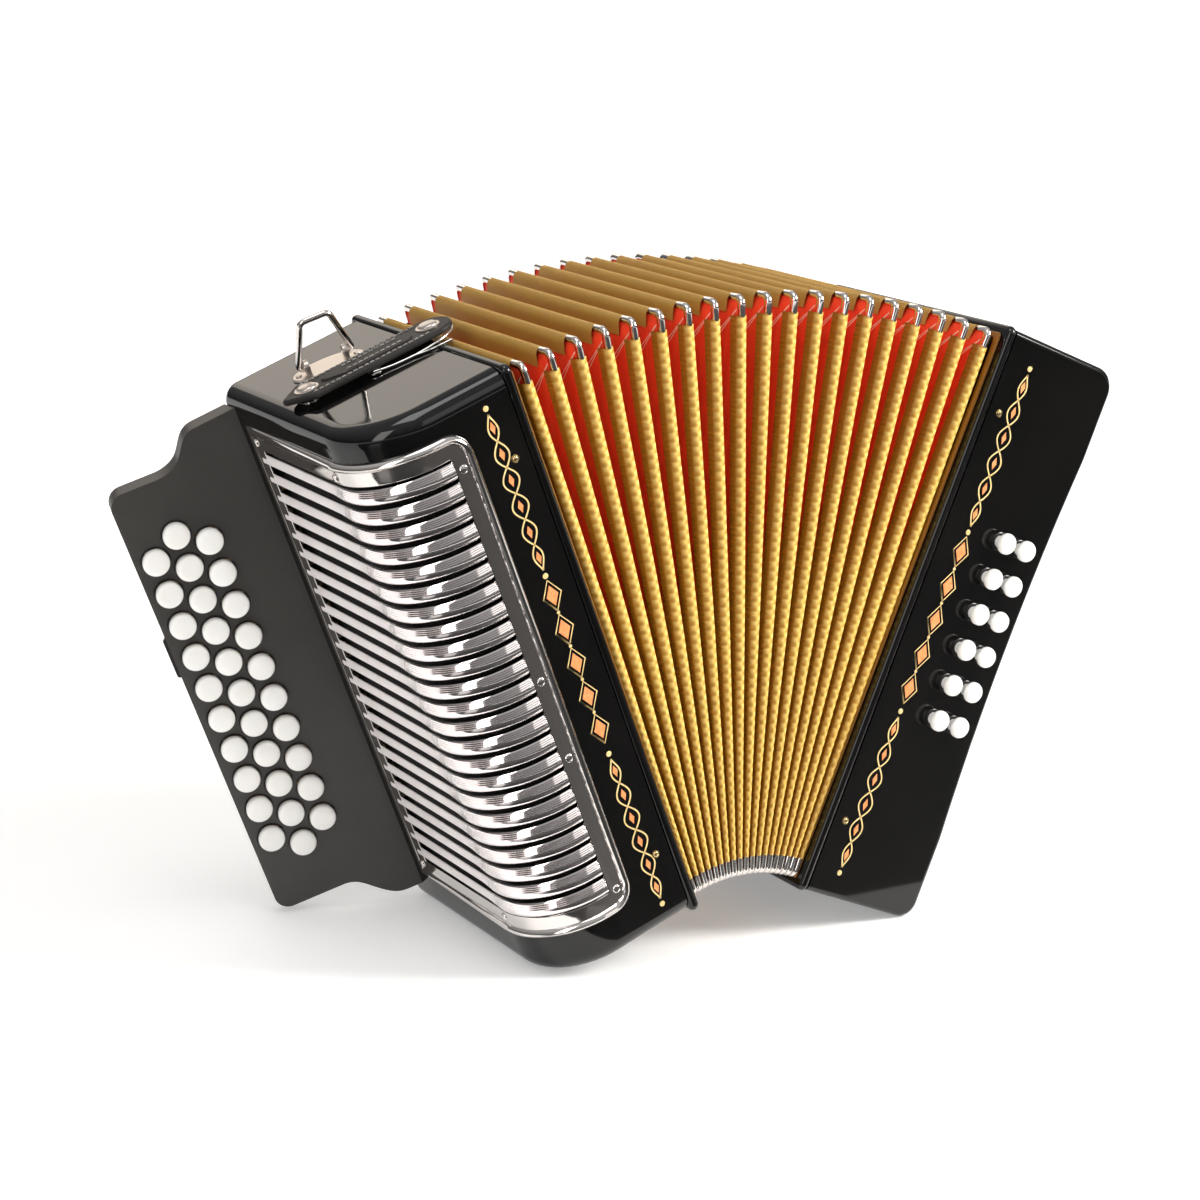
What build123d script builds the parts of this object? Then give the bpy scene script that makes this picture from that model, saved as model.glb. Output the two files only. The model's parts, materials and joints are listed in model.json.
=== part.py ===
from build123d import *
import math
import os

# A three-row button accordion with 31 treble keys and 12 bass buttons. It stands with its
# bellows fanned open, on the rounded outer bottom edges of its two cases.
# Each case is drawn upright in its own frame: X runs across the instrument and is 0 at the
# bellows seam, Y runs from the front to the back, Z runs from the case's bottom to its top.
# fan() then leans that frame about the line where all the bellows folds would meet.

# ---- driving dimensions, mm ----
CASE_HEIGHT = 310.0
CASE_DEPTH = 160.0
TREBLE_WIDTH = 86.4
WALL = 5.0
FAN_RADIUS = 80.0          # from the fan's centre line up to the bottom of the bellows
TREBLE_LEAN = 21.5         # degrees
BASS_LEAN = 22.8           # degrees
RIM_RADIUS = 10.0          # the rounded outer bottom edges that the instrument stands on
GRILLE_CORNER = 38.0       # radius of the treble case's front outer corner
RAIL_WIDTH = 6.0           # frame that holds the bellows on each case
RAIL_LIP = 1.0
RAIL_OPENING = 14.0
PIN_HEIGHTS = (41.0, 267.0)
PIN_RADIUS = 2.0
PIN_HEAD = 1.4
TREBLE_PIN_X = -14.0
BASS_PIN_X = 13.0

FOLD_COUNT = 19
FOLDS_ON_TREBLE_HALF = 10
FOLD_DEPTH = 21.0
FOLD_WALL = 3.0
BELLOWS_INSET = 4.0
SKIN_GAP = 0.05

KEY_ROW_PITCH = 18.6
KEY_COLUMN_PITCH = 14.4
KEY_FIRST_ROW = 65.5       # height of the lowest key of the middle column
KEY_COUNTS = {"inner": 10, "middle": 11, "outer": 10}
KEY_CAP_RADIUS = 6.75
KEY_CAP_HOLE = 7.35
KEY_CAP_TOP = 4.5
KEY_CAP_FLOOR = 0.1
KEY_CAP_ROUNDING = 1.2
KEY_TRAVEL = 3.0
LEVER_THICKNESS = 2.0
LEVER_SPREAD = 3.2         # the inner and outer levers of one row pass side by side
LEVER_SLOT = (50.0, 268.0)  # heights between which the levers run and their axle reaches
STEM_HALF_WIDTH = 3.0
BUTTON_ARM_FRONT = 3.5
BUTTON_ARM_DEPTH = 3.0
PALLET_ARM_DEPTH = 5.0
PALLET_LENGTH = 22.0
PALLET_HEIGHT = 14.0
PALLET_THICKNESS = 4.4
PALLET_GAP = 0.1
PALLET_POST = 6.0
PALLET_SEAT = 4.0          # how far a pallet reaches past its port on each side
AXLE_POST_HEIGHT = 4.0
AXLE_POST_WIDTH = 6.0
AXLE_RADIUS = 1.0
AXLE_CLEARANCE = 0.06
PALLET_REACH = {"inner": 34.0, "middle": 62.0, "outer": 90.0}

BOARD_ANGLE = 16.2         # degrees that the fingerboard leans back
BOARD_ROOT_Y = 142.0       # its playing surface where it meets the case
BOARD_THICKNESS = 12.0
BOARD_PLATE = 2.5
BOARD_BACK = 2.0
BOARD_RIM = 3.0
BOARD_INNER_COLUMN = 36.0  # from the case to the inner column of keys
BOARD_REACH = 75.5         # from the case to the outer edge
BOARD_TOP = 282.0
BOARD_BOTTOM = 32.0
BOARD_NECK_TOP = 302.0
BOARD_NECK_BOTTOM = 14.5
BOARD_CORNER = 8.0
BOARD_SHOULDER = 36.0
BOARD_NECK = 22.0
AXLE_X = -71.0

SOUNDBOARD_X = -59.5
SOUNDBOARD_THICKNESS = 8.0
SOUNDBOARD_FRONT = 8.5     # clear of the round corner and of the dust cloth
REED_BLOCK_DEPTH = 36.0
REED_BLOCK_WIDTH = 10.0
REED_PLATE = 1.0
REED_PLATE_COVER = 0.84    # share of its place on the block that each plate takes
REED_PLATE_MARGIN = 2.0
BASS_REED_DEPTH = 24.0
BASS_REED_HEIGHTS = (60.0, 250.0)
BASS_REED_Y = (75.0, 120.0)
BASS_REED_PLATES = 6
BASS_BOARD_X = 28.0
BASS_BOARD_FRONT = 40.0
BASS_BOARD_THICKNESS = 6.0
BOARD_CLEARANCE = 0.3      # round the soundboards, inside the cases

GRILLE_TOP = 294.0
GRILLE_BOTTOM = 24.0
GRILLE_BORDER = 12.0
GRILLE_BACK_Y = 134.0
GRILLE_FRONT_X = -32.5
GRILLE_BARS = 23
GRILLE_BAR_FILL = 0.62
GRILLE_PLATE = 1.5
GRILLE_BAR_RISE = 3.0
GRILLE_CLOTH = (-6.2, -5.6)  # depths of its two faces below the case's surface
GRILLE_SCREW_HEIGHTS = (36.0, 114.0, 158.0, 275.0)
GRILLE_SCREW_Y = (38.0, 132.0)
SCREW_RADIUS = 2.2
SCREW_HEAD = 1.2

BASS_CORNER = 12.0
BASS_SCOOP = 4.0
BASS_SCOOP_HEIGHTS = (46.0, 262.0)
BASS_EDGE_ROUNDING = 3.0
BASS_BUTTON_ROWS = 6
BASS_BUTTON_PITCH = 19.8
BASS_BUTTON_FIRST = 106.3
BASS_BUTTON_COLUMNS = {"inner": 44.0, "outer": 58.4}
BASS_CAP_RADIUS = 5.6
BASS_CAP_HEIGHT = 4.2
BASS_CAP_ROUNDING = 1.8
BASS_BUTTON_LENGTH = 22.0
BASS_SHAFT_RADIUS = 3.2
BASS_BUTTON_STAND = 9.0
RUNNING_FIT = 0.08
AIR_BUTTON_Y = 34.0
AIR_BUTTON_HEIGHT = 225.0
AIR_CAP_RADIUS = 8.0
AIR_BUTTON_SINK = 2.5      # depth of the scoop where the air button stands

FOOT_RADIUS = 6.5
FOOT_HEIGHT = 5.0
FOOT_ROUNDING = 1.5
FOOT_Y = 16.0
FOOT_HEIGHTS = (34.0, 284.0)

BAIL_WIRE = 1.6
BAIL_FOOT_SPAN = 29.0
BAIL_TOP_SPAN = 15.0
BAIL_HEIGHT = 29.0
BAIL_X = -44.0
BAIL_Y = 110.0
BAIL_LUG = 4.0
BAIL_LUG_THICKNESS = 2.0
BAIL_LUG_SETBACK = 1.7     # from the wire's riser to the lug
BAIL_TAIL = 4.2            # wire left inside each lug
BAIL_BEND = 2.4
BAIL_TURN = -13.0          # degrees, the hinge line's turn about the case's height
BAIL_LEAN_TOP = 25.0       # degrees that the top bail leans forward
BAIL_LEAN_BOTTOM = 84.0    # the bottom bail lies folded against the case
BAIL_PLATE_RADII = (19.0, 12.0)
BAIL_PLATE_THICKNESS = 1.2

STRAP_LEFT = -84.0
STRAP_RIGHT = 13.0
STRAP_Y = 82.0
STRAP_WIDTH = 23.0
STRAP_THICKNESS = 3.0
STRAP_LIFT = 2.4
STRAP_SNAPS = (-69.0, 1.0)
SNAP_RADIUS = 5.5
SNAP_HEIGHT = 1.6
SNAP_ROUNDING = 1.0
STUD_RADIUS = 3.5
STRAP_POINT = 14.0

HAND_STRAP_WIDTH = 56.0
HAND_STRAP_Y = 92.0
HAND_STRAP_BULGE = 30.0
HAND_STRAP_THICKNESS = 3.0
HAND_STRAP_ENDS = (52.0, 258.0)
HAND_PLATE_THICKNESS = 1.5
HAND_PLATE_INSET = 4.0
HAND_PLATE_LENGTH = (2.0, 12.0)  # inside and outside the strap's end
STRAP_SEAT = 0.1

THUMB_STRAP_HEIGHTS = (158.0, 204.0)
THUMB_STRAP_SPAN = 38.0
THUMB_STRAP_BULGE = 24.0
THUMB_STRAP_OVERHANG = 2.0

# ---- worked-out places ----
LEAN_T = math.radians(TREBLE_LEAN)
LEAN_B = math.radians(BASS_LEAN)
BOARD_TILT = math.radians(BOARD_ANGLE)
RIM_CENTRE_DROP = (TREBLE_WIDTH - RIM_RADIUS) * math.sin(LEAN_T) - (
    (FAN_RADIUS + RIM_RADIUS) * math.cos(LEAN_T) - FAN_RADIUS
)
# The bass case is as wide as it takes for both cases to stand on one level.
BASS_WIDTH = RIM_RADIUS + (
    RIM_CENTRE_DROP + (FAN_RADIUS + RIM_RADIUS) * math.cos(LEAN_B) - FAN_RADIUS
) / math.sin(LEAN_B)
ARM_CENTRE = BUTTON_ARM_FRONT + BUTTON_ARM_DEPTH / 2
AXLE_Y = (
    BOARD_ROOT_Y
    - (TREBLE_WIDTH + AXLE_X) * math.tan(BOARD_TILT)
    + ARM_CENTRE / math.cos(BOARD_TILT)
)
COLUMN_REACH = {
    name: BOARD_INNER_COLUMN + index * KEY_COLUMN_PITCH
    for index, name in enumerate(("inner", "middle", "outer"))
}


def fan(lean, shape):
    """Lean an upright shape about the fan's centre line, which runs along Y."""
    return Location((0, 0, -FAN_RADIUS)) * Rotation(0, lean, 0) * Location((0, 0, FAN_RADIUS)) * shape


def box_between(low, high):
    """A box from its lowest corner to its highest corner."""
    size = [b - a for a, b in zip(low, high)]
    centre = [(a + b) / 2 for a, b in zip(low, high)]
    return Location(centre) * Box(*size)


def upright(face, bottom, top):
    """Extrude a face drawn in X and Y between two heights."""
    return Location((0, 0, bottom)) * extrude(face, top - bottom, dir=(0, 0, 1))


def board_place(reach, behind=0.0):
    """Plan position at a distance out along the fingerboard and behind its surface."""
    x = -TREBLE_WIDTH - reach * math.cos(BOARD_TILT) + behind * math.sin(BOARD_TILT)
    y = BOARD_ROOT_Y + reach * math.sin(BOARD_TILT) + behind * math.cos(BOARD_TILT)
    return x, y


def key_height(column, row):
    """Height of a key's cap above the case's bottom; row 0 is the lowest."""
    half_step = 0.0 if column == "middle" else 0.5
    return KEY_FIRST_ROW + (row + half_step) * KEY_ROW_PITCH


def lever_height(column, row):
    """Height of a key's lever, beside the other lever of the same row."""
    shift = {"inner": -LEVER_SPREAD, "middle": 0.0, "outer": LEVER_SPREAD}[column]
    return key_height(column, row) + shift


def all_keys():
    return [(column, row) for column, count in KEY_COUNTS.items() for row in range(count)]


# ---- treble side ----
def treble_plan(inset, seam_x):
    """Plan of the treble case, with its large rounded front outer corner."""
    left = -TREBLE_WIDTH + inset
    front = inset
    back = CASE_DEPTH - inset
    round_front = GRILLE_CORNER - inset
    round_back = RIM_RADIUS - inset
    diagonal = math.sqrt(0.5)
    front_mid = (
        left + round_front * (1 - diagonal),
        front + round_front * (1 - diagonal),
    )
    back_mid = (left + round_back * (1 - diagonal), back - round_back * (1 - diagonal))
    outline = Curve() + [
        Line((seam_x, front), (left + round_front, front)),
        ThreePointArc((left + round_front, front), front_mid, (left, front + round_front)),
        Line((left, front + round_front), (left, back - round_back)),
        ThreePointArc((left, back - round_back), back_mid, (left + round_back, back)),
        Line((left + round_back, back), (seam_x, back)),
        Line((seam_x, back), (seam_x, front)),
    ]
    return make_face(outline)


def wrap_band(inside, outside, bottom, top, back_y=GRILLE_BACK_Y, front_x=GRILLE_FRONT_X):
    """A sheet that follows the case's side, its round corner and its front."""
    diagonal = math.sqrt(0.5)
    centre_x = -TREBLE_WIDTH + GRILLE_CORNER
    centre_y = GRILLE_CORNER

    def corner(offset):
        radius = GRILLE_CORNER + offset
        side = (centre_x - radius, centre_y)
        middle = (centre_x - radius * diagonal, centre_y - radius * diagonal)
        front = (centre_x, centre_y - radius)
        return side, middle, front

    side_out, middle_out, front_out = corner(outside)
    side_in, middle_in, front_in = corner(inside)
    outline = Curve() + [
        Line((side_out[0], back_y), side_out),
        ThreePointArc(side_out, middle_out, front_out),
        Line(front_out, (front_x, front_out[1])),
        Line((front_x, front_out[1]), (front_x, front_in[1])),
        Line((front_x, front_in[1]), front_in),
        ThreePointArc(front_in, middle_in, side_in),
        Line(side_in, (side_in[0], back_y)),
        Line((side_in[0], back_y), (side_out[0], back_y)),
    ]
    return upright(make_face(outline), bottom, top)


def bellows_rail(seam_x, outward):
    """The lipped frame between a case and the bellows."""
    edges = sorted((seam_x, seam_x + outward * RAIL_WIDTH))
    ring = box_between(
        (edges[0], -RAIL_LIP, -RAIL_LIP),
        (edges[1], CASE_DEPTH + RAIL_LIP, CASE_HEIGHT + RAIL_LIP),
    )
    ring = fillet(ring.edges().filter_by(Axis.X), RAIL_WIDTH / 2)
    opening = box_between(
        (edges[0] - 1, RAIL_OPENING, RAIL_OPENING),
        (edges[1] + 1, CASE_DEPTH - RAIL_OPENING, CASE_HEIGHT - RAIL_OPENING),
    )
    return ring - opening


def bellows_pins(side_x):
    """Dome-headed pins that hold the bellows frame, two on the front and two on the back."""
    pins = []
    for height in PIN_HEIGHTS:
        for y, out in ((0.0, -1), (CASE_DEPTH, 1)):
            head = Rotation(90, 0, 0) * Cylinder(PIN_RADIUS, PIN_HEAD)
            pins.append(Location((side_x, y + out * PIN_HEAD / 2, height)) * head)
    return pins


def bail_place(base, up):
    """Where a bail's plate sits: flat on the case's top, or turned over on its bottom."""
    turn_over = 0 if up > 0 else 180
    return Location((BAIL_X, BAIL_Y, base)) * Rotation(0, 0, BAIL_TURN) * Rotation(turn_over, 0, 0)


def bail_plate(base, up):
    """Oval plate with two lugs that carry a strap bail."""
    plate = extrude(Ellipse(*BAIL_PLATE_RADII), BAIL_PLATE_THICKNESS)
    for side in (-1, 1):
        outer = side * (BAIL_FOOT_SPAN / 2 - BAIL_WIRE - BAIL_LUG_SETBACK)
        edges = sorted((outer, outer - side * BAIL_LUG_THICKNESS))
        plate += box_between((edges[0], -BAIL_LUG, 0), (edges[1], BAIL_LUG, 2 * BAIL_LUG))
    pin_hole = Location((0, 0, BAIL_LUG)) * Rotation(0, 90, 0)
    plate -= pin_hole * Cylinder(BAIL_WIRE + RUNNING_FIT, BAIL_FOOT_SPAN)
    return bail_place(base, up) * plate


def treble_case():
    shell = upright(treble_plan(0.0, -RAIL_WIDTH), 0, CASE_HEIGHT)
    rims = [
        edge
        for height in (0.0, CASE_HEIGHT)
        for edge in shell.edges().filter_by_position(Axis.Z, height - 0.1, height + 0.1)
        if edge.center().X < -RAIL_WIDTH - 1
    ]
    shell = fillet(rims, RIM_RADIUS - 0.5)
    shell -= upright(treble_plan(WALL, 1.0), WALL, CASE_HEIGHT - WALL)
    window_back = GRILLE_BACK_Y - GRILLE_BORDER / 2
    shell -= box_between(
        (-TREBLE_WIDTH - 1, -1, GRILLE_BOTTOM + GRILLE_BORDER),
        (GRILLE_FRONT_X - GRILLE_BORDER, window_back, GRILLE_TOP - GRILLE_BORDER),
    )
    lever_slot_low = BOARD_ROOT_Y + BOARD_PLATE
    lever_slot_high = lever_slot_low + BOARD_THICKNESS - BOARD_PLATE - BOARD_BACK
    shell -= box_between(
        (-TREBLE_WIDTH - 1, lever_slot_low - 1, LEVER_SLOT[0]),
        (-TREBLE_WIDTH + WALL + 1, lever_slot_high, LEVER_SLOT[1]),
    )
    solids = [shell, bellows_rail(0.0, -1)]
    solids += bellows_pins(TREBLE_PIN_X)
    solids.append(bail_plate(CASE_HEIGHT, 1))
    solids.append(bail_plate(0.0, -1))
    stud = Location((STRAP_SNAPS[0], STRAP_Y, CASE_HEIGHT + STRAP_LIFT / 2))
    solids.append(stud * Cylinder(STUD_RADIUS, STRAP_LIFT))
    return solids


def board_outline(inset):
    """The fingerboard's face, with X out along the board and Y up."""
    reach = BOARD_REACH - inset
    top = BOARD_TOP - inset
    bottom = BOARD_BOTTOM + inset
    corner = BOARD_CORNER - inset
    shoulder_x = BOARD_SHOULDER - inset
    neck_x = BOARD_NECK - inset
    neck_top = BOARD_NECK_TOP - inset
    neck_bottom = BOARD_NECK_BOTTOM + inset
    outline = Curve() + [
        Line((inset, neck_bottom), (inset, neck_top)),
        Line((inset, neck_top), (neck_x, neck_top - 2)),
        Spline(
            (neck_x, neck_top - 2),
            (shoulder_x, top + 5),
            (shoulder_x + 12, top),
            tangents=((1, -0.1), (1, -0.1)),
        ),
        Line((shoulder_x + 12, top), (reach - corner, top)),
        RadiusArc((reach - corner, top), (reach, top - corner), corner),
        Line((reach, top - corner), (reach, bottom + corner)),
        RadiusArc((reach, bottom + corner), (reach - corner, bottom), corner),
        Line((reach - corner, bottom), (shoulder_x + 2, bottom)),
        Spline(
            (shoulder_x + 2, bottom),
            (shoulder_x - 10, bottom - 7),
            (neck_x - 8, neck_bottom + 1),
            (inset, neck_bottom),
            tangents=((-1, -0.1), (-1, 0)),
        ),
    ]
    return make_face(outline)


def on_board(face, front, back):
    """Extrude a fingerboard outline between two depths behind the playing surface."""
    plane = Plane(
        origin=(*board_place(0, front), 0),
        x_dir=(-math.cos(BOARD_TILT), math.sin(BOARD_TILT), 0),
        z_dir=(math.sin(BOARD_TILT), math.cos(BOARD_TILT), 0),
    )
    return plane * extrude(face, back - front, dir=(0, 0, 1))


def fingerboard():
    """A hollow board: a drilled playing plate, a rim and a back, for the levers to run in."""
    outer = board_outline(0.0)
    body = on_board(outer, 0, BOARD_THICKNESS)
    body -= on_board(board_outline(BOARD_RIM), BOARD_PLATE, BOARD_THICKNESS - BOARD_BACK)
    body -= box_between(
        (-TREBLE_WIDTH - BOARD_RIM - 2, BOARD_ROOT_Y + BOARD_PLATE + 0.6, LEVER_SLOT[0]),
        (-TREBLE_WIDTH + 1, BOARD_ROOT_Y + BOARD_THICKNESS - BOARD_BACK, LEVER_SLOT[1]),
    )
    holes = []
    for column, row in all_keys():
        x, y = board_place(COLUMN_REACH[column], BOARD_PLATE / 2)
        turn = Rotation(0, 0, -BOARD_ANGLE) * Rotation(90, 0, 0)
        hole = turn * Cylinder(KEY_CAP_HOLE, 2 * BOARD_PLATE)
        holes.append(Location((x, y, key_height(column, row))) * hole)
    body -= holes
    body -= box_between((-TREBLE_WIDTH - 0.02, 0, 0), (0, CASE_DEPTH * 2, CASE_HEIGHT))
    return [body]


def board_bar(reach_low, reach_high, front, back, low, high):
    """A straight-sided bar in the fingerboard's own directions."""
    bar = Box(reach_high - reach_low, back - front, high - low)
    x, y = board_place((reach_low + reach_high) / 2, (front + back) / 2)
    return Location((x, y, (low + high) / 2)) * Rotation(0, 0, -BOARD_ANGLE) * bar


def treble_key(column, row):
    """One key: cap, stem and lever, with the pallet that it lifts off the soundboard."""
    centre = key_height(column, row)
    lever = lever_height(column, row)
    low = lever - LEVER_THICKNESS / 2
    high = lever + LEVER_THICKNESS / 2
    reach = COLUMN_REACH[column]
    turn = Rotation(0, 0, -BOARD_ANGLE) * Rotation(90, 0, 0)
    x, y = board_place(reach, -(KEY_CAP_TOP + KEY_CAP_FLOOR) / 2)
    cap = Cylinder(KEY_CAP_RADIUS, KEY_CAP_TOP - KEY_CAP_FLOOR)
    cap = fillet(cap.edges().group_by(Axis.Z)[-1], KEY_CAP_ROUNDING)
    cap = Location((x, y, centre)) * turn * cap
    stem = board_bar(
        reach - STEM_HALF_WIDTH, reach + STEM_HALF_WIDTH, -KEY_CAP_FLOOR, BUTTON_ARM_FRONT, low, high
    )
    arm_x = (AXLE_X - PALLET_ARM_DEPTH / 2, AXLE_X + PALLET_ARM_DEPTH / 2)
    pallet_y = AXLE_Y - PALLET_REACH[column]
    pallet_arm = box_between(
        (arm_x[0], pallet_y - PALLET_POST / 2 - 1, low), (arm_x[1], AXLE_Y + PALLET_ARM_DEPTH / 2, high)
    )
    button_arm = board_bar(
        -(TREBLE_WIDTH + AXLE_X),
        reach + STEM_HALF_WIDTH + 1,
        BUTTON_ARM_FRONT,
        BUTTON_ARM_FRONT + BUTTON_ARM_DEPTH,
        low,
        high,
    )
    button_arm -= box_between(
        (arm_x[0], AXLE_Y - 20, low - 1), (arm_x[1] + 20, AXLE_Y + 20, high + 1)
    )
    axle_hole = Cylinder(AXLE_RADIUS + AXLE_CLEARANCE, LEVER_THICKNESS * 2)
    pallet_arm -= Location((AXLE_X, AXLE_Y, lever)) * axle_hole
    seat = SOUNDBOARD_X - PALLET_GAP
    pallet_top = seat - PALLET_THICKNESS
    post = box_between(
        (arm_x[1], pallet_y - PALLET_POST / 2, low), (pallet_top, pallet_y + PALLET_POST / 2, high)
    )
    pallet = box_between(
        (pallet_top, pallet_y - PALLET_LENGTH / 2, lever - PALLET_HEIGHT / 2),
        (seat, pallet_y + PALLET_LENGTH / 2, lever + PALLET_HEIGHT / 2),
    )
    return [cap, stem, button_arm, pallet_arm, post, pallet]


def treble_soundboard():
    """The board that the pallets close, with a port for each key, and the levers' axle."""
    margin = WALL + BOARD_CLEARANCE
    board = box_between(
        (SOUNDBOARD_X, SOUNDBOARD_FRONT, margin),
        (SOUNDBOARD_X + SOUNDBOARD_THICKNESS, CASE_DEPTH - margin, CASE_HEIGHT - margin),
    )
    ports = []
    for column, row in all_keys():
        pallet_y = AXLE_Y - PALLET_REACH[column]
        height = lever_height(column, row)
        port = Box(
            SOUNDBOARD_THICKNESS * 2, PALLET_LENGTH - 2 * PALLET_SEAT, PALLET_HEIGHT - 1.5 * PALLET_SEAT
        )
        ports.append(Location((SOUNDBOARD_X + SOUNDBOARD_THICKNESS / 2, pallet_y, height)) * port)
    board -= ports
    axle_low, axle_high = LEVER_SLOT
    axle = Location((AXLE_X, AXLE_Y, (axle_low + axle_high) / 2)) * Cylinder(
        AXLE_RADIUS, axle_high - axle_low
    )
    solids = [board, axle]
    for height in (axle_low, axle_high - AXLE_POST_HEIGHT):
        post = box_between(
            (AXLE_X - AXLE_POST_HEIGHT, AXLE_Y - AXLE_POST_WIDTH / 2, height),
            (SOUNDBOARD_X, AXLE_Y + AXLE_POST_WIDTH / 2, height + AXLE_POST_HEIGHT),
        )
        solids.append(post - axle)
    return solids


def reed_block(x_root, x_tip, y, low, high, plates):
    """A wooden reed block with a row of reed plates on each face."""
    edges = sorted((x_root, x_tip))
    block = box_between((edges[0], y - REED_BLOCK_WIDTH / 2, low), (edges[1], y + REED_BLOCK_WIDTH / 2, high))
    solids = [block]
    pitch = (high - low) / plates
    half = pitch * REED_PLATE_COVER / 2
    for index in range(plates):
        centre = low + (index + 0.5) * pitch
        for side in (-1, 1):
            face = y + side * REED_BLOCK_WIDTH / 2
            faces = sorted((face, face + side * REED_PLATE))
            solids.append(
                box_between(
                    (edges[0] + REED_PLATE_MARGIN, faces[0], centre - half),
                    (edges[1] - REED_PLATE_MARGIN, faces[1], centre + half),
                )
            )
    return solids


def treble_reed_blocks():
    root = SOUNDBOARD_X + SOUNDBOARD_THICKNESS
    solids = []
    for column, count in KEY_COUNTS.items():
        low = lever_height(column, 0) - KEY_ROW_PITCH / 2
        high = lever_height(column, count - 1) + KEY_ROW_PITCH / 2
        y = AXLE_Y - PALLET_REACH[column]
        solids += reed_block(root, root + REED_BLOCK_DEPTH, y, low, high, count)
    return solids


def grille():
    """Pressed metal grille round the case's front corner, with its screws."""
    frame = wrap_band(0.0, GRILLE_PLATE, GRILLE_BOTTOM, GRILLE_TOP)
    window_low = GRILLE_BOTTOM + GRILLE_BORDER
    window_high = GRILLE_TOP - GRILLE_BORDER
    window_back = GRILLE_BACK_Y - GRILLE_BORDER / 2
    window_front = GRILLE_FRONT_X - GRILLE_BORDER
    frame -= wrap_band(-1.0, GRILLE_PLATE + 1, window_low, window_high, window_back, window_front)
    pitch = (window_high - window_low) / GRILLE_BARS
    for index in range(GRILLE_BARS):
        centre = window_low + (index + 0.5) * pitch
        half = pitch * GRILLE_BAR_FILL / 2
        frame += wrap_band(
            0.0, GRILLE_BAR_RISE, centre - half, centre + half, window_back, window_front
        )
    solids = [frame]
    edge = GRILLE_BORDER / 2
    front_x = GRILLE_FRONT_X - edge
    out = GRILLE_PLATE + SCREW_HEAD / 2
    for height in GRILLE_SCREW_HEIGHTS:
        screw = Rotation(90, 0, 0) * Cylinder(SCREW_RADIUS, SCREW_HEAD)
        solids.append(Location((front_x, -out, height)) * screw)
    for y in GRILLE_SCREW_Y:
        for height in (GRILLE_BOTTOM + edge, GRILLE_TOP - edge):
            screw = Rotation(0, 90, 0) * Cylinder(SCREW_RADIUS, SCREW_HEAD)
            solids.append(Location((-TREBLE_WIDTH - out, y, height)) * screw)
    return solids


def grille_cloth():
    """Dust cloth just inside the wall, behind the grille."""
    overlap = GRILLE_BORDER / 2
    back_y = GRILLE_BACK_Y - overlap / 2
    front_x = GRILLE_FRONT_X - overlap
    return [wrap_band(*GRILLE_CLOTH, GRILLE_BOTTOM + overlap, GRILLE_TOP - overlap, back_y, front_x)]


# ---- bellows ----
def bellows_half(first_fold, fold_count, lean_start, lean_end):
    """Part of the fan as one folded tube, from one valley to another."""
    per_fold = (BASS_LEAN + TREBLE_LEAN) / FOLD_COUNT

    def section(inset):
        rings = []
        for step in range(2 * fold_count + 1):
            lean = -TREBLE_LEAN + (first_fold + step / 2) * per_fold
            lean = min(max(lean, lean_start), lean_end)
            sunk = BELLOWS_INSET + inset + (0.0 if step % 2 else FOLD_DEPTH)
            width = CASE_DEPTH - 2 * sunk
            height = CASE_HEIGHT - 2 * sunk
            frame = Plane(origin=(0, CASE_DEPTH / 2, CASE_HEIGHT / 2), x_dir=(0, 1, 0), z_dir=(1, 0, 0))
            rings.append(fan(lean, frame * Rectangle(width, height)))
        return loft(rings, ruled=True)

    return section(0.0) - section(FOLD_WALL)


def skin_lean():
    """The angle that keeps a bellows end just clear of its rail."""
    return math.degrees(SKIN_GAP / FAN_RADIUS)


def bellows_treble_half():
    per_fold = (BASS_LEAN + TREBLE_LEAN) / FOLD_COUNT
    end = -TREBLE_LEAN + FOLDS_ON_TREBLE_HALF * per_fold - skin_lean()
    return [bellows_half(0, FOLDS_ON_TREBLE_HALF, -TREBLE_LEAN + skin_lean(), end)]


def bellows_bass_half():
    count = FOLD_COUNT - FOLDS_ON_TREBLE_HALF
    start = -TREBLE_LEAN + FOLDS_ON_TREBLE_HALF * (BASS_LEAN + TREBLE_LEAN) / FOLD_COUNT
    return [bellows_half(FOLDS_ON_TREBLE_HALF, count, start + skin_lean(), BASS_LEAN - skin_lean())]


# ---- bass side ----
def bass_outline(inset):
    """The bass case seen from the front, with its hand scoop."""
    right = BASS_WIDTH - inset
    bottom = inset
    top = CASE_HEIGHT - inset
    low_round = RIM_RADIUS - inset
    top_round = BASS_CORNER - inset
    scoop_low = (right, BASS_SCOOP_HEIGHTS[0])
    scoop_high = (right, BASS_SCOOP_HEIGHTS[1])
    scoop_mid = (right - BASS_SCOOP, sum(BASS_SCOOP_HEIGHTS) / 2)
    return Curve() + [
        Line((RAIL_WIDTH, bottom), (right - low_round, bottom)),
        RadiusArc((right - low_round, bottom), (right, bottom + low_round), -low_round),
        Line((right, bottom + low_round), scoop_low),
        ThreePointArc(scoop_low, scoop_mid, scoop_high),
        Line(scoop_high, (right, top - top_round)),
        RadiusArc((right, top - top_round), (right - top_round, top), -top_round),
        Line((right - top_round, top), (RAIL_WIDTH, top)),
        Line((RAIL_WIDTH, top), (RAIL_WIDTH, bottom)),
    ]


def through_depth(outline, front, back):
    """Extrude an outline drawn in X and Z between two depths."""
    face = Plane.XZ * make_face(outline)
    return Location((0, front, 0)) * extrude(face, back - front, dir=(0, 1, 0))


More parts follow.
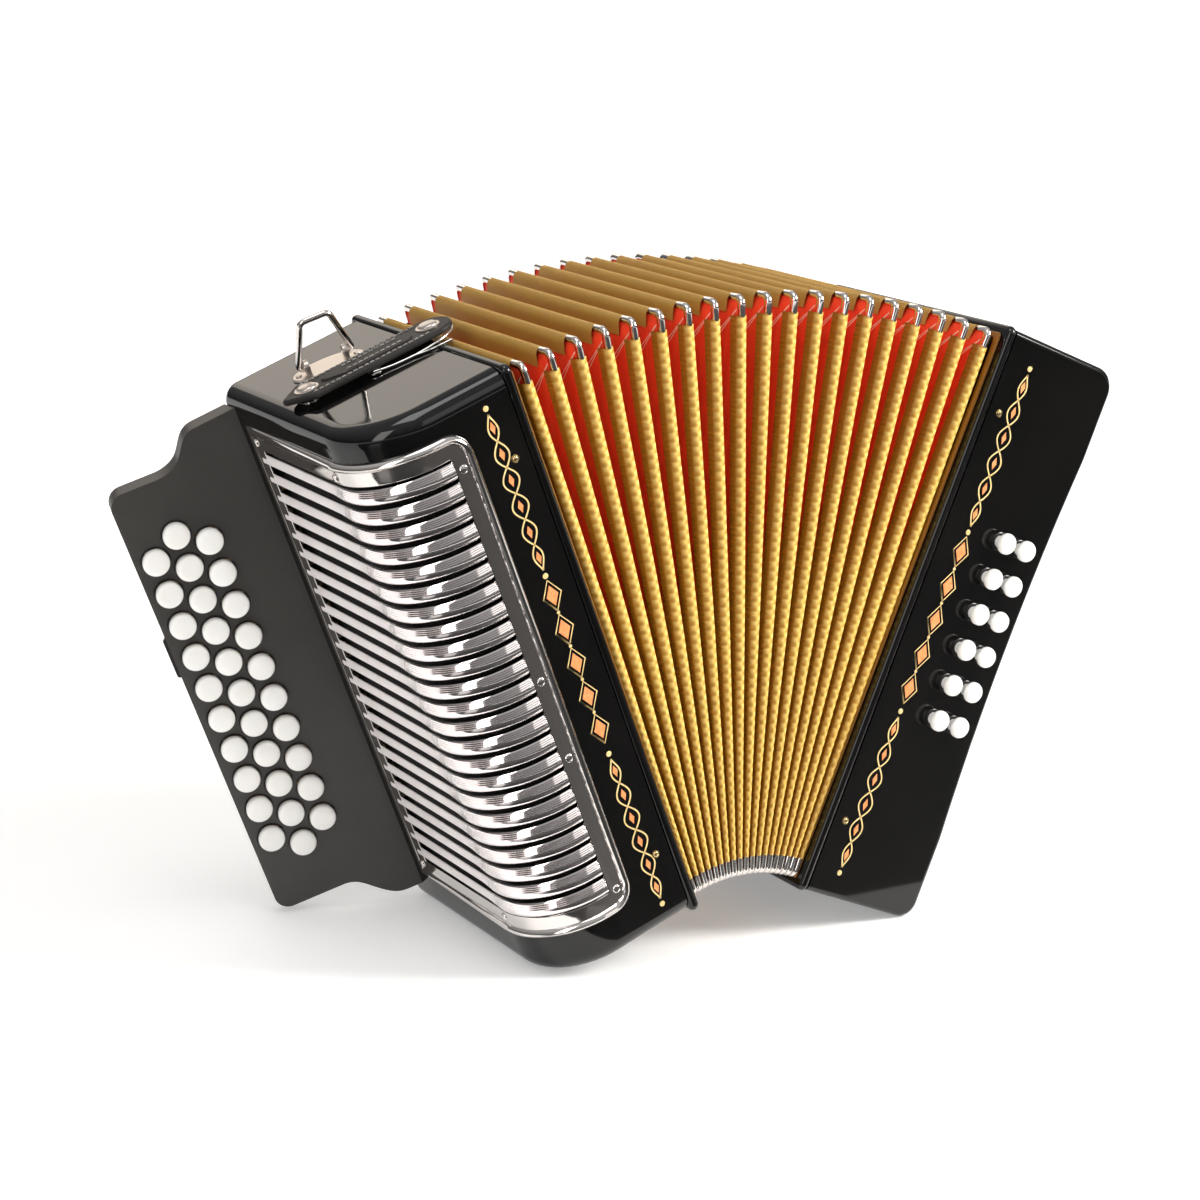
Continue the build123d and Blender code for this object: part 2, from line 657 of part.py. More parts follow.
def bass_case():
    shell = through_depth(bass_outline(0.0), 0, CASE_DEPTH)
    edges = [
        edge
        for depth in (0.0, CASE_DEPTH)
        for edge in shell.edges().filter_by_position(Axis.Y, depth - 0.1, depth + 0.1)
        if edge.center().X > RAIL_WIDTH + 1
    ]
    shell = fillet(edges, BASS_EDGE_ROUNDING)
    cavity = through_depth(bass_outline(WALL), WALL, CASE_DEPTH - WALL)
    opening = box_between(
        (RAIL_WIDTH - 1, WALL, WALL), (RAIL_WIDTH + WALL, CASE_DEPTH - WALL, CASE_HEIGHT - WALL)
    )
    shell -= cavity
    shell -= opening
    bores = []
    for column_x in BASS_BUTTON_COLUMNS.values():
        for row in range(BASS_BUTTON_ROWS):
            height = BASS_BUTTON_FIRST + row * BASS_BUTTON_PITCH
            bore = Rotation(90, 0, 0) * Cylinder(BASS_SHAFT_RADIUS + RUNNING_FIT, 4 * WALL)
            bores.append(Location((column_x, 0, height)) * bore)
    air_bore = Rotation(0, 90, 0) * Cylinder(BASS_SHAFT_RADIUS + RUNNING_FIT, 4 * WALL)
    bores.append(Location((BASS_WIDTH, AIR_BUTTON_Y, AIR_BUTTON_HEIGHT)) * air_bore)
    shell -= bores
    return [shell, bellows_rail(0.0, 1)] + bellows_pins(BASS_PIN_X)


def push_button(cap_radius, stand, length):
    """A capped shaft along Y; the case's face is at Y 0 and the cap is in front of it."""
    cap = Rotation(90, 0, 0) * Cylinder(cap_radius, BASS_CAP_HEIGHT)
    cap = fillet(cap.edges().group_by(Axis.Y)[0], BASS_CAP_ROUNDING)
    cap = Location((0, -stand + BASS_CAP_HEIGHT / 2, 0)) * cap
    shaft_front = -stand + BASS_CAP_HEIGHT
    shaft = Rotation(90, 0, 0) * Cylinder(BASS_SHAFT_RADIUS, length)
    return [cap, Location((0, shaft_front + length / 2, 0)) * shaft]


def bass_button(column, row):
    height = BASS_BUTTON_FIRST + row * BASS_BUTTON_PITCH
    place = Location((BASS_BUTTON_COLUMNS[column], 0, height))
    return [place * solid for solid in push_button(BASS_CAP_RADIUS, BASS_BUTTON_STAND, BASS_BUTTON_LENGTH)]


def air_button():
    """The air valve's thumb button, on the bass case's outer side."""
    stand = BASS_BUTTON_STAND
    scoop_floor = BASS_WIDTH - AIR_BUTTON_SINK
    place = Location((scoop_floor, AIR_BUTTON_Y, AIR_BUTTON_HEIGHT)) * Rotation(0, 0, 90)
    return [place * solid for solid in push_button(AIR_CAP_RADIUS, stand, BASS_BUTTON_LENGTH)]


def bass_reed_blocks():
    """The bass soundboard and its two reed blocks."""
    margin = WALL + BOARD_CLEARANCE
    board = box_between(
        (BASS_BOARD_X, BASS_BOARD_FRONT, margin),
        (BASS_BOARD_X + BASS_BOARD_THICKNESS, CASE_DEPTH - margin, CASE_HEIGHT - margin),
    )
    solids = [board]
    for y in BASS_REED_Y:
        solids += reed_block(
            BASS_BOARD_X, BASS_BOARD_X - BASS_REED_DEPTH, y, *BASS_REED_HEIGHTS, BASS_REED_PLATES
        )
    return solids


def rubber_feet():
    feet = []
    for y in (FOOT_Y, CASE_DEPTH - FOOT_Y):
        for height in FOOT_HEIGHTS:
            foot = Rotation(0, 90, 0) * Cylinder(FOOT_RADIUS, FOOT_HEIGHT)
            foot = fillet(foot.edges().group_by(Axis.X)[-1], FOOT_ROUNDING)
            feet.append(Location((BASS_WIDTH + FOOT_HEIGHT / 2, y, height)) * foot)
    return feet


# ---- straps and bails ----
def bail(base, up, lean):
    """A wire bail: a tapered loop with its two feet on one hinge line."""
    foot = BAIL_FOOT_SPAN / 2
    top = BAIL_TOP_SPAN / 2
    inner = foot - BAIL_WIRE - BAIL_TAIL
    path = FilletPolyline(
        (-inner, 0, 0),
        (-foot, 0, 0),
        (-top, 0, BAIL_HEIGHT),
        (top, 0, BAIL_HEIGHT),
        (foot, 0, 0),
        (inner, 0, 0),
        radius=BAIL_BEND,
    )
    start = Plane(origin=path @ 0, z_dir=path % 0)
    loop = sweep(start * Circle(BAIL_WIRE), path=path)
    place = bail_place(base, up) * Location((0, 0, BAIL_LUG)) * Rotation(up * lean, 0, 0)
    return [place * loop]


def bellows_strap():
    """Leather snap strap that lies over the treble case's top."""
    base = CASE_HEIGHT + STRAP_LIFT
    half = STRAP_WIDTH / 2
    outline = Curve() + [
        Line((STRAP_LEFT + STRAP_POINT, -half), (STRAP_RIGHT - half, -half)),
        ThreePointArc((STRAP_RIGHT - half, -half), (STRAP_RIGHT, 0), (STRAP_RIGHT - half, half)),
        Line((STRAP_RIGHT - half, half), (STRAP_LEFT + STRAP_POINT, half)),
        Line((STRAP_LEFT + STRAP_POINT, half), (STRAP_LEFT, 0)),
        Line((STRAP_LEFT, 0), (STRAP_LEFT + STRAP_POINT, -half)),
    ]
    leather = Location((0, STRAP_Y, 0)) * upright(make_face(outline), base, base + STRAP_THICKNESS)
    solids = [leather]
    for x in STRAP_SNAPS:
        cap = Cylinder(SNAP_RADIUS, SNAP_HEIGHT)
        cap = fillet(cap.edges().group_by(Axis.Z)[-1], SNAP_ROUNDING)
        solids.append(Location((x, STRAP_Y, base + STRAP_THICKNESS + SNAP_HEIGHT / 2)) * cap)
    return solids


def arch_band(span, bulge, thickness, width):
    """A band that bows up in Z over a span in X, with its width along Y and flat ends."""
    outer = Curve() + [
        ThreePointArc((-span / 2, 0), (0, bulge), (span / 2, 0)),
        Line((span / 2, 0), (span / 2 - 2 * thickness, 0)),
        ThreePointArc(
            (span / 2 - 2 * thickness, 0), (0, bulge - thickness), (-span / 2 + 2 * thickness, 0)
        ),
        Line((-span / 2 + 2 * thickness, 0), (-span / 2, 0)),
    ]
    return extrude(Plane.XZ * make_face(outer), width / 2, both=True)


def bass_strap():
    """Hand strap along the bass case's outer side, with a plate at each end."""
    low, high = HAND_STRAP_ENDS
    band = arch_band(high - low, HAND_STRAP_BULGE, HAND_STRAP_THICKNESS, HAND_STRAP_WIDTH)
    turn = Rotation(0, 90, 0)
    seat = BASS_WIDTH + HAND_PLATE_THICKNESS + STRAP_SEAT
    solids = [Location((seat, HAND_STRAP_Y, (low + high) / 2)) * turn * band]
    for height, out in ((low, -1), (high, 1)):
        ends = sorted((height - out * HAND_PLATE_LENGTH[0], height + out * HAND_PLATE_LENGTH[1]))
        half = HAND_STRAP_WIDTH / 2 - HAND_PLATE_INSET
        solids.append(
            box_between(
                (BASS_WIDTH, HAND_STRAP_Y - half, ends[0]),
                (BASS_WIDTH + HAND_PLATE_THICKNESS, HAND_STRAP_Y + half, ends[1]),
            )
        )
    return solids


def thumb_strap():
    """Leather thumb loop behind the fingerboard's outer edge."""
    low, high = THUMB_STRAP_HEIGHTS
    band = arch_band(THUMB_STRAP_SPAN, THUMB_STRAP_BULGE, HAND_STRAP_THICKNESS, (high - low) / 2)
    x, y = board_place(
        BOARD_REACH - THUMB_STRAP_SPAN / 2 + THUMB_STRAP_OVERHANG, BOARD_THICKNESS + STRAP_SEAT / 4
    )
    turn = Rotation(0, 0, -BOARD_ANGLE) * Rotation(-90, 0, 0)
    return [Location((x, y, (low + high) / 2)) * turn * band]


def build():
    """Every node by name, as lists of solids in the fan's own frame."""
    treble = {
        "treble_case": treble_case(),
        "fingerboard": fingerboard(),
        "grille": grille(),
        "grille_cloth": grille_cloth(),
        "treble_soundboard": treble_soundboard(),
        "treble_reed_blocks": treble_reed_blocks(),
        "strap_bail_top": bail(CASE_HEIGHT, 1, BAIL_LEAN_TOP),
        "strap_bail_bottom": bail(0.0, -1, BAIL_LEAN_BOTTOM),
        "bellows_strap": bellows_strap(),
        "thumb_strap": thumb_strap(),
    }
    for column, row in all_keys():
        treble[f"treble_key_{column}_{row + 1:02d}"] = treble_key(column, row)
    bass = {
        "bass_case": bass_case(),
        "bass_reed_blocks": bass_reed_blocks(),
        "air_button": air_button(),
        "rubber_feet": rubber_feet(),
        "bass_strap": bass_strap(),
    }
    for column in BASS_BUTTON_COLUMNS:
        for row in range(BASS_BUTTON_ROWS):
            bass[f"bass_button_{column}_{row + 1}"] = bass_button(column, row)
    nodes = {
        "bellows_treble_half": bellows_treble_half(),
        "bellows_bass_half": bellows_bass_half(),
    }
    for name, solids in treble.items():
        nodes[name] = [fan(-TREBLE_LEAN, solid) for solid in solids]
    for name, solids in bass.items():
        nodes[name] = [fan(BASS_LEAN, solid) for solid in solids]
    return nodes


def origin_of(nodes):
    """The middle of the whole instrument's footprint, at the level that it stands on."""
    boxes = [solid.bounding_box() for solids in nodes.values() for solid in solids]
    low = [min(getattr(box.min, axis) for box in boxes) for axis in "XYZ"]
    high = [max(getattr(box.max, axis) for box in boxes) for axis in "XYZ"]
    return (low[0] + high[0]) / 2, (low[1] + high[1]) / 2, low[2]


def main():
    os.makedirs("parts", exist_ok=True)
    nodes = build()
    origin = origin_of(nodes)
    print("origin in the fan's frame", [round(value, 4) for value in origin])
    print("bass width", round(BASS_WIDTH, 4))
    to_origin = Location([-value for value in origin])
    for name, solids in nodes.items():
        placed = [to_origin * solid for solid in solids]
        shape = placed[0] if len(placed) == 1 else Compound(children=placed)
        export_step(shape, f"parts/{name}.step")


if __name__ == "__main__":
    main()
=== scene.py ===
import json
import math
from collections import namedtuple

import bmesh
import bpy
from mathutils import Matrix, Vector
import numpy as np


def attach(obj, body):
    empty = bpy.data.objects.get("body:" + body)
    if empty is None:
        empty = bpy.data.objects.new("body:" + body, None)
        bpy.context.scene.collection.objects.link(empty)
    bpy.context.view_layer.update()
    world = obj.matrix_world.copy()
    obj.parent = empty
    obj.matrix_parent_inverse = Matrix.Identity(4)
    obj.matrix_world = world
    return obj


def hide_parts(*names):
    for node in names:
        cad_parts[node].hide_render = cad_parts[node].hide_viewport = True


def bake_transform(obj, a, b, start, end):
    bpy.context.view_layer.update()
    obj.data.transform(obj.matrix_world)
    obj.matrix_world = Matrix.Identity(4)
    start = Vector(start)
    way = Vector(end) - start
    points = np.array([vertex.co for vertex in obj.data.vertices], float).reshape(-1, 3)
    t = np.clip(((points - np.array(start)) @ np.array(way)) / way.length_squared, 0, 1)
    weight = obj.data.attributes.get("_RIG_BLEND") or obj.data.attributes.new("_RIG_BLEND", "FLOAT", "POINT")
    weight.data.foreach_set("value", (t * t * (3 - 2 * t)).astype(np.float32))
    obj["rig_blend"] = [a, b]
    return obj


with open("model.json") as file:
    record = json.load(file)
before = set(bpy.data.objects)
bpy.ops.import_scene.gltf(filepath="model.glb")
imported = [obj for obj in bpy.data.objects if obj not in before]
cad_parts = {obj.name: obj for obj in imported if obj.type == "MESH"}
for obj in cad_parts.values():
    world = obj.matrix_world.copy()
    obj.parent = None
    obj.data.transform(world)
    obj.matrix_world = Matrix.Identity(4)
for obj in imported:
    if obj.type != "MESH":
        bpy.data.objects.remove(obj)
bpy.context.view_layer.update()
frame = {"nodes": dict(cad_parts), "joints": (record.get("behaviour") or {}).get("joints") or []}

# A three-row button accordion. Each case is drawn upright in its own frame, in millimetres:
# U runs across the instrument and is 0 at the bellows seam, Y runs from the front to the back,
# and W runs from the case's bottom to its top. place() leans that frame about the line where
# all the bellows folds would meet, and gives a point of the shared frame in metres.

# ---- sizes, mm ----
MM = 0.001
CASE_HEIGHT = 310.0
CASE_DEPTH = 160.0
TREBLE_WIDTH = 86.4
BASS_WIDTH = 80.27
FAN_RADIUS = 80.0
TREBLE_LEAN = -21.5
BASS_LEAN = 22.8
RIM = 9.5
RAIL_WIDTH = 6.0
RAIL_LIP = 1.0
SHELL = 2.5
PIN_ROWS = (41.0, 267.0)
TREBLE_PIN_U = -14.0
BASS_PIN_U = 13.0

INLAY_BACK = 0.15
INLAY_FACE = -0.16
PLAIT_LENGTH = 84.0
PLAIT_TURNS = 3
PLAIT_WIDTH = 4.4
PLAIT_STEPS = 96
LOZENGES = 5
LOZENGE_PITCH = 19.0

FOLD_COUNT = 19
TREBLE_FOLDS = 10
FOLD_DEPTH = 21.0
BELLOWS_INSET = 4.0
FOLD_ANGLE = (BASS_LEAN - TREBLE_LEAN) / FOLD_COUNT
TAPE_HALF_WIDTH = 3.3
TAPE_SHARE = 0.36
TAPE_CROWN = 4.2
TAPE_FLARE = 0.5
FACE_SKIRT = 6.0
BAND_SKIRT = 9.0
TAPE_START = 10.0
TAPE_TURNS = 8
BROCADE_PITCH = 2.5
GUSSET_START = 0.1
GUSSET_END = 0.42
GUSSET_WIDTH = 0.7
CORNER_HALF_WIDTH = 1.75
CORNER_TURN = 5.0
CORNER_LEG = 11.0

GRILLE_CORNER = 38.0
GRILLE_BOTTOM = 24.0
GRILLE_TOP = 294.0
GRILLE_BORDER = 12.0
GRILLE_BACK_Y = 134.0
GRILLE_FRONT_U = -32.5
GRILLE_BARS = 23
GRILLE_SIDE = GRILLE_BACK_Y - GRILLE_CORNER
GRILLE_ARC = math.pi / 2 * GRILLE_CORNER
GRILLE_LENGTH = GRILLE_SIDE + GRILLE_ARC + GRILLE_FRONT_U + TREBLE_WIDTH - GRILLE_CORNER
FRONT_SCREW_ROWS = (36.0, 114.0, 158.0, 275.0)
SIDE_SCREW_YS = (38.0, 128.0)
SCREW_INSET = 8.5

BOARD_TILT = math.radians(16.2)
BOARD_ROOT_Y = 142.0
BOARD_THICKNESS = 12.0
BOARD_REACH = 75.5
COLUMN_REACH = {"inner": 36.0, "middle": 50.4, "outer": 64.8}
KEY_COUNTS = {"inner": 10, "middle": 11, "outer": 10}
KEY_FIRST_ROW = 65.5
KEY_ROW_PITCH = 18.6
KEY_HOLE = 7.36
# outer radius of the painted shade ring round each key hole
KEY_SHADE_RING_RADIUS = 8.0

BASS_COLUMNS = {"inner": 44.0, "outer": 58.4}
BASS_ROWS = 6
BASS_FIRST_ROW = 106.3
BASS_ROW_PITCH = 19.8
BASS_STAND = 9.0
BASS_CAP_RADIUS = 5.6
BASS_SHAFT_RADIUS = 3.2
BASS_BUTTON_LENGTH = 22.0
BASS_SCOOP = 4.0
SCOOP_HEIGHTS = (46.0, 262.0)
AIR_BUTTON = (77.77, 34.0, 225.0)
AIR_CAP_RADIUS = 8.0
FOOT_INSET = 16.0
FOOT_ROWS = (34.0, 284.0)

BAIL_CENTRE = (-44.0, 110.0)
BAIL_TURN = math.radians(-13.0)
BAIL_LUG = 4.0
BAIL_WIRE = 1.6
BAIL_PLATE_SIZE = (19.0, 12.0)
BAIL_PLATE_THICKNESS = 1.2
STRAP_Y = 82.0
STRAP_ENDS = (-84.0, 13.0)
STRAP_WIDTH = 23.0
STRAP_LIFT = 2.4
STRAP_SNAPS = (-69.0, 1.0)
STRAP_THICKNESS = 3.0
PAD_RISE = 0.9
STITCH_PITCH = 3.2

HAND_STRAP_Y = 92.0
HAND_STRAP_ENDS = (52.0, 258.0)
HAND_STRAP_WIDTH = 56.0
HAND_STRAP_BULGE = 30.0
HAND_STITCH_EDGE = 24.5
HAND_STITCHES = 52
END_PLATE_SIZE = (48.0, 14.0)
END_PLATE_THICKNESS = 1.4
THUMB_LOOP_W = 181.0
THUMB_LOOP_WIDTH = 23.0
THUMB_LOOP_SPAN = 38.0
THUMB_LOOP_BULGE = 24.0
BAND_THICKNESS = 3.0


def fan_place(lean, u, y, w):
    """A case's own point, leaned about the fan's centre line, in mm."""
    turn = math.radians(lean)
    radius = FAN_RADIUS + w
    return Vector(
        (
            math.cos(turn) * u + math.sin(turn) * radius,
            y,
            math.cos(turn) * radius - math.sin(turn) * u - FAN_RADIUS,
        )
    )


joints = {joint["name"]: joint for joint in frame["joints"]}
first_pivot = Vector(joints["bellows_fan"]["pos_m"])
first_pivot_lean = TREBLE_LEAN + TREBLE_FOLDS / 2 * FOLD_ANGLE
ORIGIN = fan_place(first_pivot_lean, 0, CASE_DEPTH / 2, 0) - first_pivot / MM


def place(lean, u, y, w):
    return (fan_place(lean, u, y, w) - ORIGIN) * MM


def smooth(low, high, value):
    """0 below low, 1 above high, and an eased step between them."""
    t = min(max((value - low) / (high - low), 0.0), 1.0)
    return t * t * (3 - 2 * t)


# ---- materials ----
class Paint:
    """A node material around one Principled shader."""

    def __init__(self, name, colour, roughness, metallic=0.0, **sockets):
        self.material = bpy.data.materials.new(name)
        self.material.use_nodes = True
        self.tree = self.material.node_tree
        self.shader = self.tree.nodes["Principled BSDF"]
        self.put("Base Color", (*colour, 1.0))
        self.put("Roughness", roughness)
        self.put("Metallic", metallic)
        for socket, value in sockets.items():
            self.put(socket.replace("_", " "), value)
        self.space = self.tree.nodes.new("ShaderNodeTexCoord")

    def put(self, socket, value):
        self.shader.inputs[socket].default_value = value

    def node(self, kind, **settings):
        made = self.tree.nodes.new(kind)
        for key, value in settings.items():
            setattr(made, key, value)
        return made

    def link(self, source, target):
        self.tree.links.new(source, target)

    def where(self, source="Object", scale=(1, 1, 1)):
        """Coordinates of one kind, scaled."""
        mapping = self.node("ShaderNodeMapping")
        mapping.inputs["Scale"].default_value = scale
        self.link(self.space.outputs[source], mapping.inputs["Vector"])
        return mapping.outputs["Vector"]

    def split(self, source="Object"):
        """A node whose outputs are the X, Y and Z of one kind of coordinates."""
        made = self.node("ShaderNodeSeparateXYZ")
        self.link(self.where(source), made.inputs[0])
        return made

    def noise(self, scale, detail=4.0, where=None):
        made = self.node("ShaderNodeTexNoise")
        made.inputs["Scale"].default_value = scale
        made.inputs["Detail"].default_value = detail
        self.link(where or self.where(), made.inputs["Vector"])
        return made.outputs["Fac"]

    def wave(self, scale, where, direction="X", distortion=0.0):
        made = self.node("ShaderNodeTexWave", bands_direction=direction)
        made.inputs["Scale"].default_value = scale
        made.inputs["Distortion"].default_value = distortion
        self.link(where, made.inputs["Vector"])
        return made.outputs["Fac"]

    def blend(self, factor, low, high, start=0.3, end=0.7):
        """Colours from low to high as the factor goes from start to end."""
        ramp = self.node("ShaderNodeValToRGB")
        ramp.color_ramp.elements[0].position = start
        ramp.color_ramp.elements[1].position = end
        ramp.color_ramp.elements[0].color = (*low, 1)
        ramp.color_ramp.elements[1].color = (*high, 1)
        self.link(factor, ramp.inputs["Fac"])
        return ramp.outputs["Color"]

    def mix(self, factor, low, high, mode="MIX"):
        made = self.node("ShaderNodeMix", data_type="RGBA", blend_type=mode)
        for socket, value in ((0, factor), (6, low), (7, high)):
            if isinstance(value, (float, int)):
                made.inputs[socket].default_value = value
            elif isinstance(value, tuple):
                made.inputs[socket].default_value = (*value, 1)
            else:
                self.link(value, made.inputs[socket])
        return made.outputs[2]

    def math(self, operation, *values):
        made = self.node("ShaderNodeMath", operation=operation)
        for socket, value in enumerate(values):
            if isinstance(value, (float, int)):
                made.inputs[socket].default_value = value
            else:
                self.link(value, made.inputs[socket])
        return made.outputs[0]

    def colour(self, source):
        self.link(source, self.shader.inputs["Base Color"])

    def remap(self, value, low, high, start=0.0, end=1.0, kind="LINEAR"):
        """A number from low to high as the value goes from start to end."""
        made = self.node("ShaderNodeMapRange", interpolation_type=kind)
        settings = {"From Min": start, "From Max": end, "To Min": low, "To Max": high}
        for socket, setting in settings.items():
            made.inputs[socket].default_value = setting
        self.link(value, made.inputs["Value"])
        return made.outputs["Result"]

    def rough(self, factor, low, high):
        self.link(self.remap(factor, low, high), self.shader.inputs["Roughness"])

    def bump(self, height, strength, depth_mm):
        made = self.node("ShaderNodeBump")
        made.inputs["Strength"].default_value = strength
        made.inputs["Distance"].default_value = depth_mm * MM
        self.link(height, made.inputs["Height"])
        self.link(made.outputs["Normal"], self.shader.inputs["Normal"])


def lacquer():
    """Deep black lacquer with faint haze from handling."""
    paint = Paint("black_lacquer", (0.004, 0.004, 0.0045), 0.06)
    haze = paint.noise(14.0, 6.0)
    paint.colour(paint.blend(haze, (0.0015, 0.0015, 0.0015), (0.004, 0.0037, 0.0035)))
    paint.rough(haze, 0.04, 0.12)
    paint.bump(paint.noise(60.0, 1.0), 0.04, 0.12)
    return paint.material


def board_satin():
    """Satin black paint, a little brown, with a fine grain and rubbed patches."""
    paint = Paint("board_satin", (0.03, 0.027, 0.025), 0.42)
    rubbed = paint.noise(9.0, 5.0)
    paint.colour(paint.blend(rubbed, (0.034, 0.031, 0.028), (0.05, 0.045, 0.041)))
    paint.rough(rubbed, 0.36, 0.55)
    paint.bump(paint.noise(1400.0, 3.0), 0.25, 0.12)
    return paint.material


def chrome(name, colour, low, high):
    """Bright plated metal with slight clouding."""
    paint = Paint(name, colour, low, 1.0)
    clouds = paint.noise(40.0, 4.0)
    paint.rough(clouds, low, high)
    paint.bump(paint.noise(90.0, 2.0), 0.015, 0.15)
    return paint.material


def grille_metal():
    """Plated bars: polished at the front and round the corner, satin along the side."""
    paint = Paint("grille_metal", (0.85, 0.81, 0.8), 0.2, 1.0)
    satin = paint.remap(paint.split().outputs["Y"], 0.0, 1.0, -0.068, -0.04, "SMOOTHSTEP")
    paint.rough(satin, 0.09, 0.36)
    paint.link(paint.remap(satin, 1.0, 0.15), paint.shader.inputs["Metallic"])
    paint.colour(paint.blend(paint.noise(70.0, 4.0), (0.9, 0.84, 0.83), (0.97, 0.92, 0.91)))
    paint.bump(paint.noise(300.0, 3.0), 0.03, 0.05)
    return paint.material


def ivory():
    """Pearly white plastic."""
    paint = Paint("key_ivory", (0.9, 0.89, 0.86), 0.22, Subsurface_Weight=0.08, Coat_Weight=0.4)
    paint.put("Subsurface Radius", (0.003, 0.0025, 0.002))
    cloud = paint.noise(60.0, 3.0)
    paint.colour(paint.blend(cloud, (0.92, 0.905, 0.87), (0.96, 0.95, 0.92)))
    paint.rough(cloud, 0.16, 0.3)
    paint.bump(paint.noise(500.0, 2.0), 0.03, 0.1)
    return paint.material


def red_cloth():
    """Vivid red bellows cloth with a fine woven ground."""
    paint = Paint("bellows_cloth", (0.8, 0.03, 0.006), 0.62, Sheen_Weight=0.15)
    paint.put("Sheen Tint", (1.0, 0.35, 0.2, 1.0))
    across = paint.wave(150.0, paint.where("UV"), "X")
    along = paint.wave(150.0, paint.where("UV"), "Y")
    weave = paint.math("MULTIPLY", across, along)
    stain = paint.noise(5.0, 5.0, paint.where("UV"))
    ground = paint.blend(stain, (0.86, 0.035, 0.004), (0.95, 0.075, 0.008))
    paint.colour(paint.mix(weave, ground, (0.72, 0.02, 0.003)))
    paint.bump(weave, 0.4, 0.12)
    return paint.material


def brocade():
    """Gold tape with plump woven checks, and painted shade that darkens its flanks to brown, the flank at
    low UV x more; UV runs across it and along it.
    """
    paint = Paint("gold_brocade", (0.8, 0.5, 0.1), 0.46, 0.1)
    spot = paint.split("UV").outputs
    across = paint.math("SINE", paint.math("MULTIPLY", spot["X"], 4 * math.pi))
    along = paint.math("SINE", paint.math("MULTIPLY", spot["Y"], math.pi))
    checks = paint.math("MULTIPLY_ADD", paint.math("MULTIPLY", across, along), 0.5, 0.5)
    threads = paint.math("SINE", paint.math("MULTIPLY", spot["Y"], 7 * math.pi))
    plump = paint.math("MULTIPLY", along, along)
    figure = paint.math("ADD", checks, paint.math("MULTIPLY", threads, 0.04))
    cloud = paint.noise(1.5, 3.0, paint.where("UV"))
    gold = paint.blend(figure, (0.62, 0.34, 0.034), (1.0, 0.72, 0.19), 0.1, 0.8)
    gold = paint.mix(paint.math("MULTIPLY", cloud, 0.2), gold, (0.55, 0.28, 0.03))
    # Painted shade: away from a line just past the middle of the tape the gold turns dark brown, as if the
    # flanks were unlit.
    off_crest = paint.math("ABSOLUTE", paint.math("SUBTRACT", spot["X"], 0.58))
    painted_flank_shade = paint.blend(off_crest, (0, 0, 0), (1, 1, 1), 0.07, 0.33)
    paint.colour(paint.mix(painted_flank_shade, gold, (0.25, 0.095, 0.002)))
    paint.bump(paint.math("ADD", figure, plump), 0.45, 0.5)
    return paint.material


def ribbed_tape():
    """Gold-tan tape with fine threads across it."""
    paint = Paint("gold_ribbed", (0.55, 0.3, 0.06), 0.5, 0.15)
    threads = paint.wave(4.4, paint.where("UV"), "Y")
    cloud = paint.noise(0.8, 4.0, paint.where("UV"))
    gold = paint.blend(threads, (0.34, 0.17, 0.02), (0.62, 0.36, 0.06), 0.1, 0.9)
    paint.colour(paint.mix(paint.math("MULTIPLY", cloud, 0.4), gold, (0.52, 0.29, 0.035)))
    paint.bump(threads, 0.5, 0.15)
    return paint.material


def leather():
    """Black leather with a pebbled grain."""
    paint = Paint("black_leather", (0.012, 0.011, 0.011), 0.5, Specular_IOR_Level=0.3)
    grain = paint.node("ShaderNodeTexVoronoi", feature="SMOOTH_F1")
    grain.inputs["Scale"].default_value = 900.0
    paint.link(paint.where(), grain.inputs["Vector"])
    wear = paint.noise(60.0, 4.0)
    paint.colour(paint.blend(wear, (0.007, 0.0065, 0.006), (0.02, 0.0175, 0.016)))
    paint.rough(wear, 0.4, 0.6)
    paint.bump(grain.outputs["Distance"], 0.35, 0.25)
    return paint.material


def rubber():
    """Matt black rubber with a fine grain."""
    paint = Paint("rubber", (0.012, 0.012, 0.012), 0.7)
    grain = paint.noise(600.0, 3.0)
    paint.colour(paint.blend(grain, (0.01, 0.01, 0.01), (0.02, 0.019, 0.018)))
    paint.bump(grain, 0.3, 0.1)
    return paint.material


def wood(name, dark, light, grain_scale):
    """Quarter-sawn wood, its grain along the case's height."""
    paint = Paint(name, dark, 0.5)
    rings = paint.wave(grain_scale, paint.where("Object", (1, 1, 0.08)), "X", 6.0)
    fleck = paint.noise(220.0, 5.0, paint.where("Object", (1, 1, 0.06)))
    grain = paint.math("MULTIPLY", paint.math("ADD", rings, fleck), 0.5)
    paint.colour(paint.blend(grain, dark, light))
    paint.rough(fleck, 0.4, 0.6)
    paint.bump(fleck, 0.2, 0.15)
    return paint.material


def dust_cloth():
    """Thin black cloth with an open weave."""
    paint = Paint("dust_cloth", (0.008, 0.008, 0.008), 0.9)
    warp = paint.wave(420.0, paint.where(), "Z")
    weft = paint.wave(420.0, paint.where(), "X")
    weave = paint.math("MULTIPLY", warp, weft)
    paint.colour(paint.blend(weave, (0.004, 0.004, 0.004), (0.022, 0.02, 0.018)))
    paint.bump(weave, 0.4, 0.2)
    return paint.material


def enamel(name, dark, light):
    """A hard or matt coloured surface with a slight mottle: inlay, thread, leather edge, felt, and the
    painted shade round the key holes.
    """
    paint = Paint(name, dark, 0.3, Coat_Weight=0.5)
    mottle = paint.noise(500.0, 3.0)
    paint.colour(paint.blend(mottle, dark, light))
    paint.rough(mottle, 0.22, 0.4)
    paint.bump(mottle, 0.1, 0.05)
    return paint.material


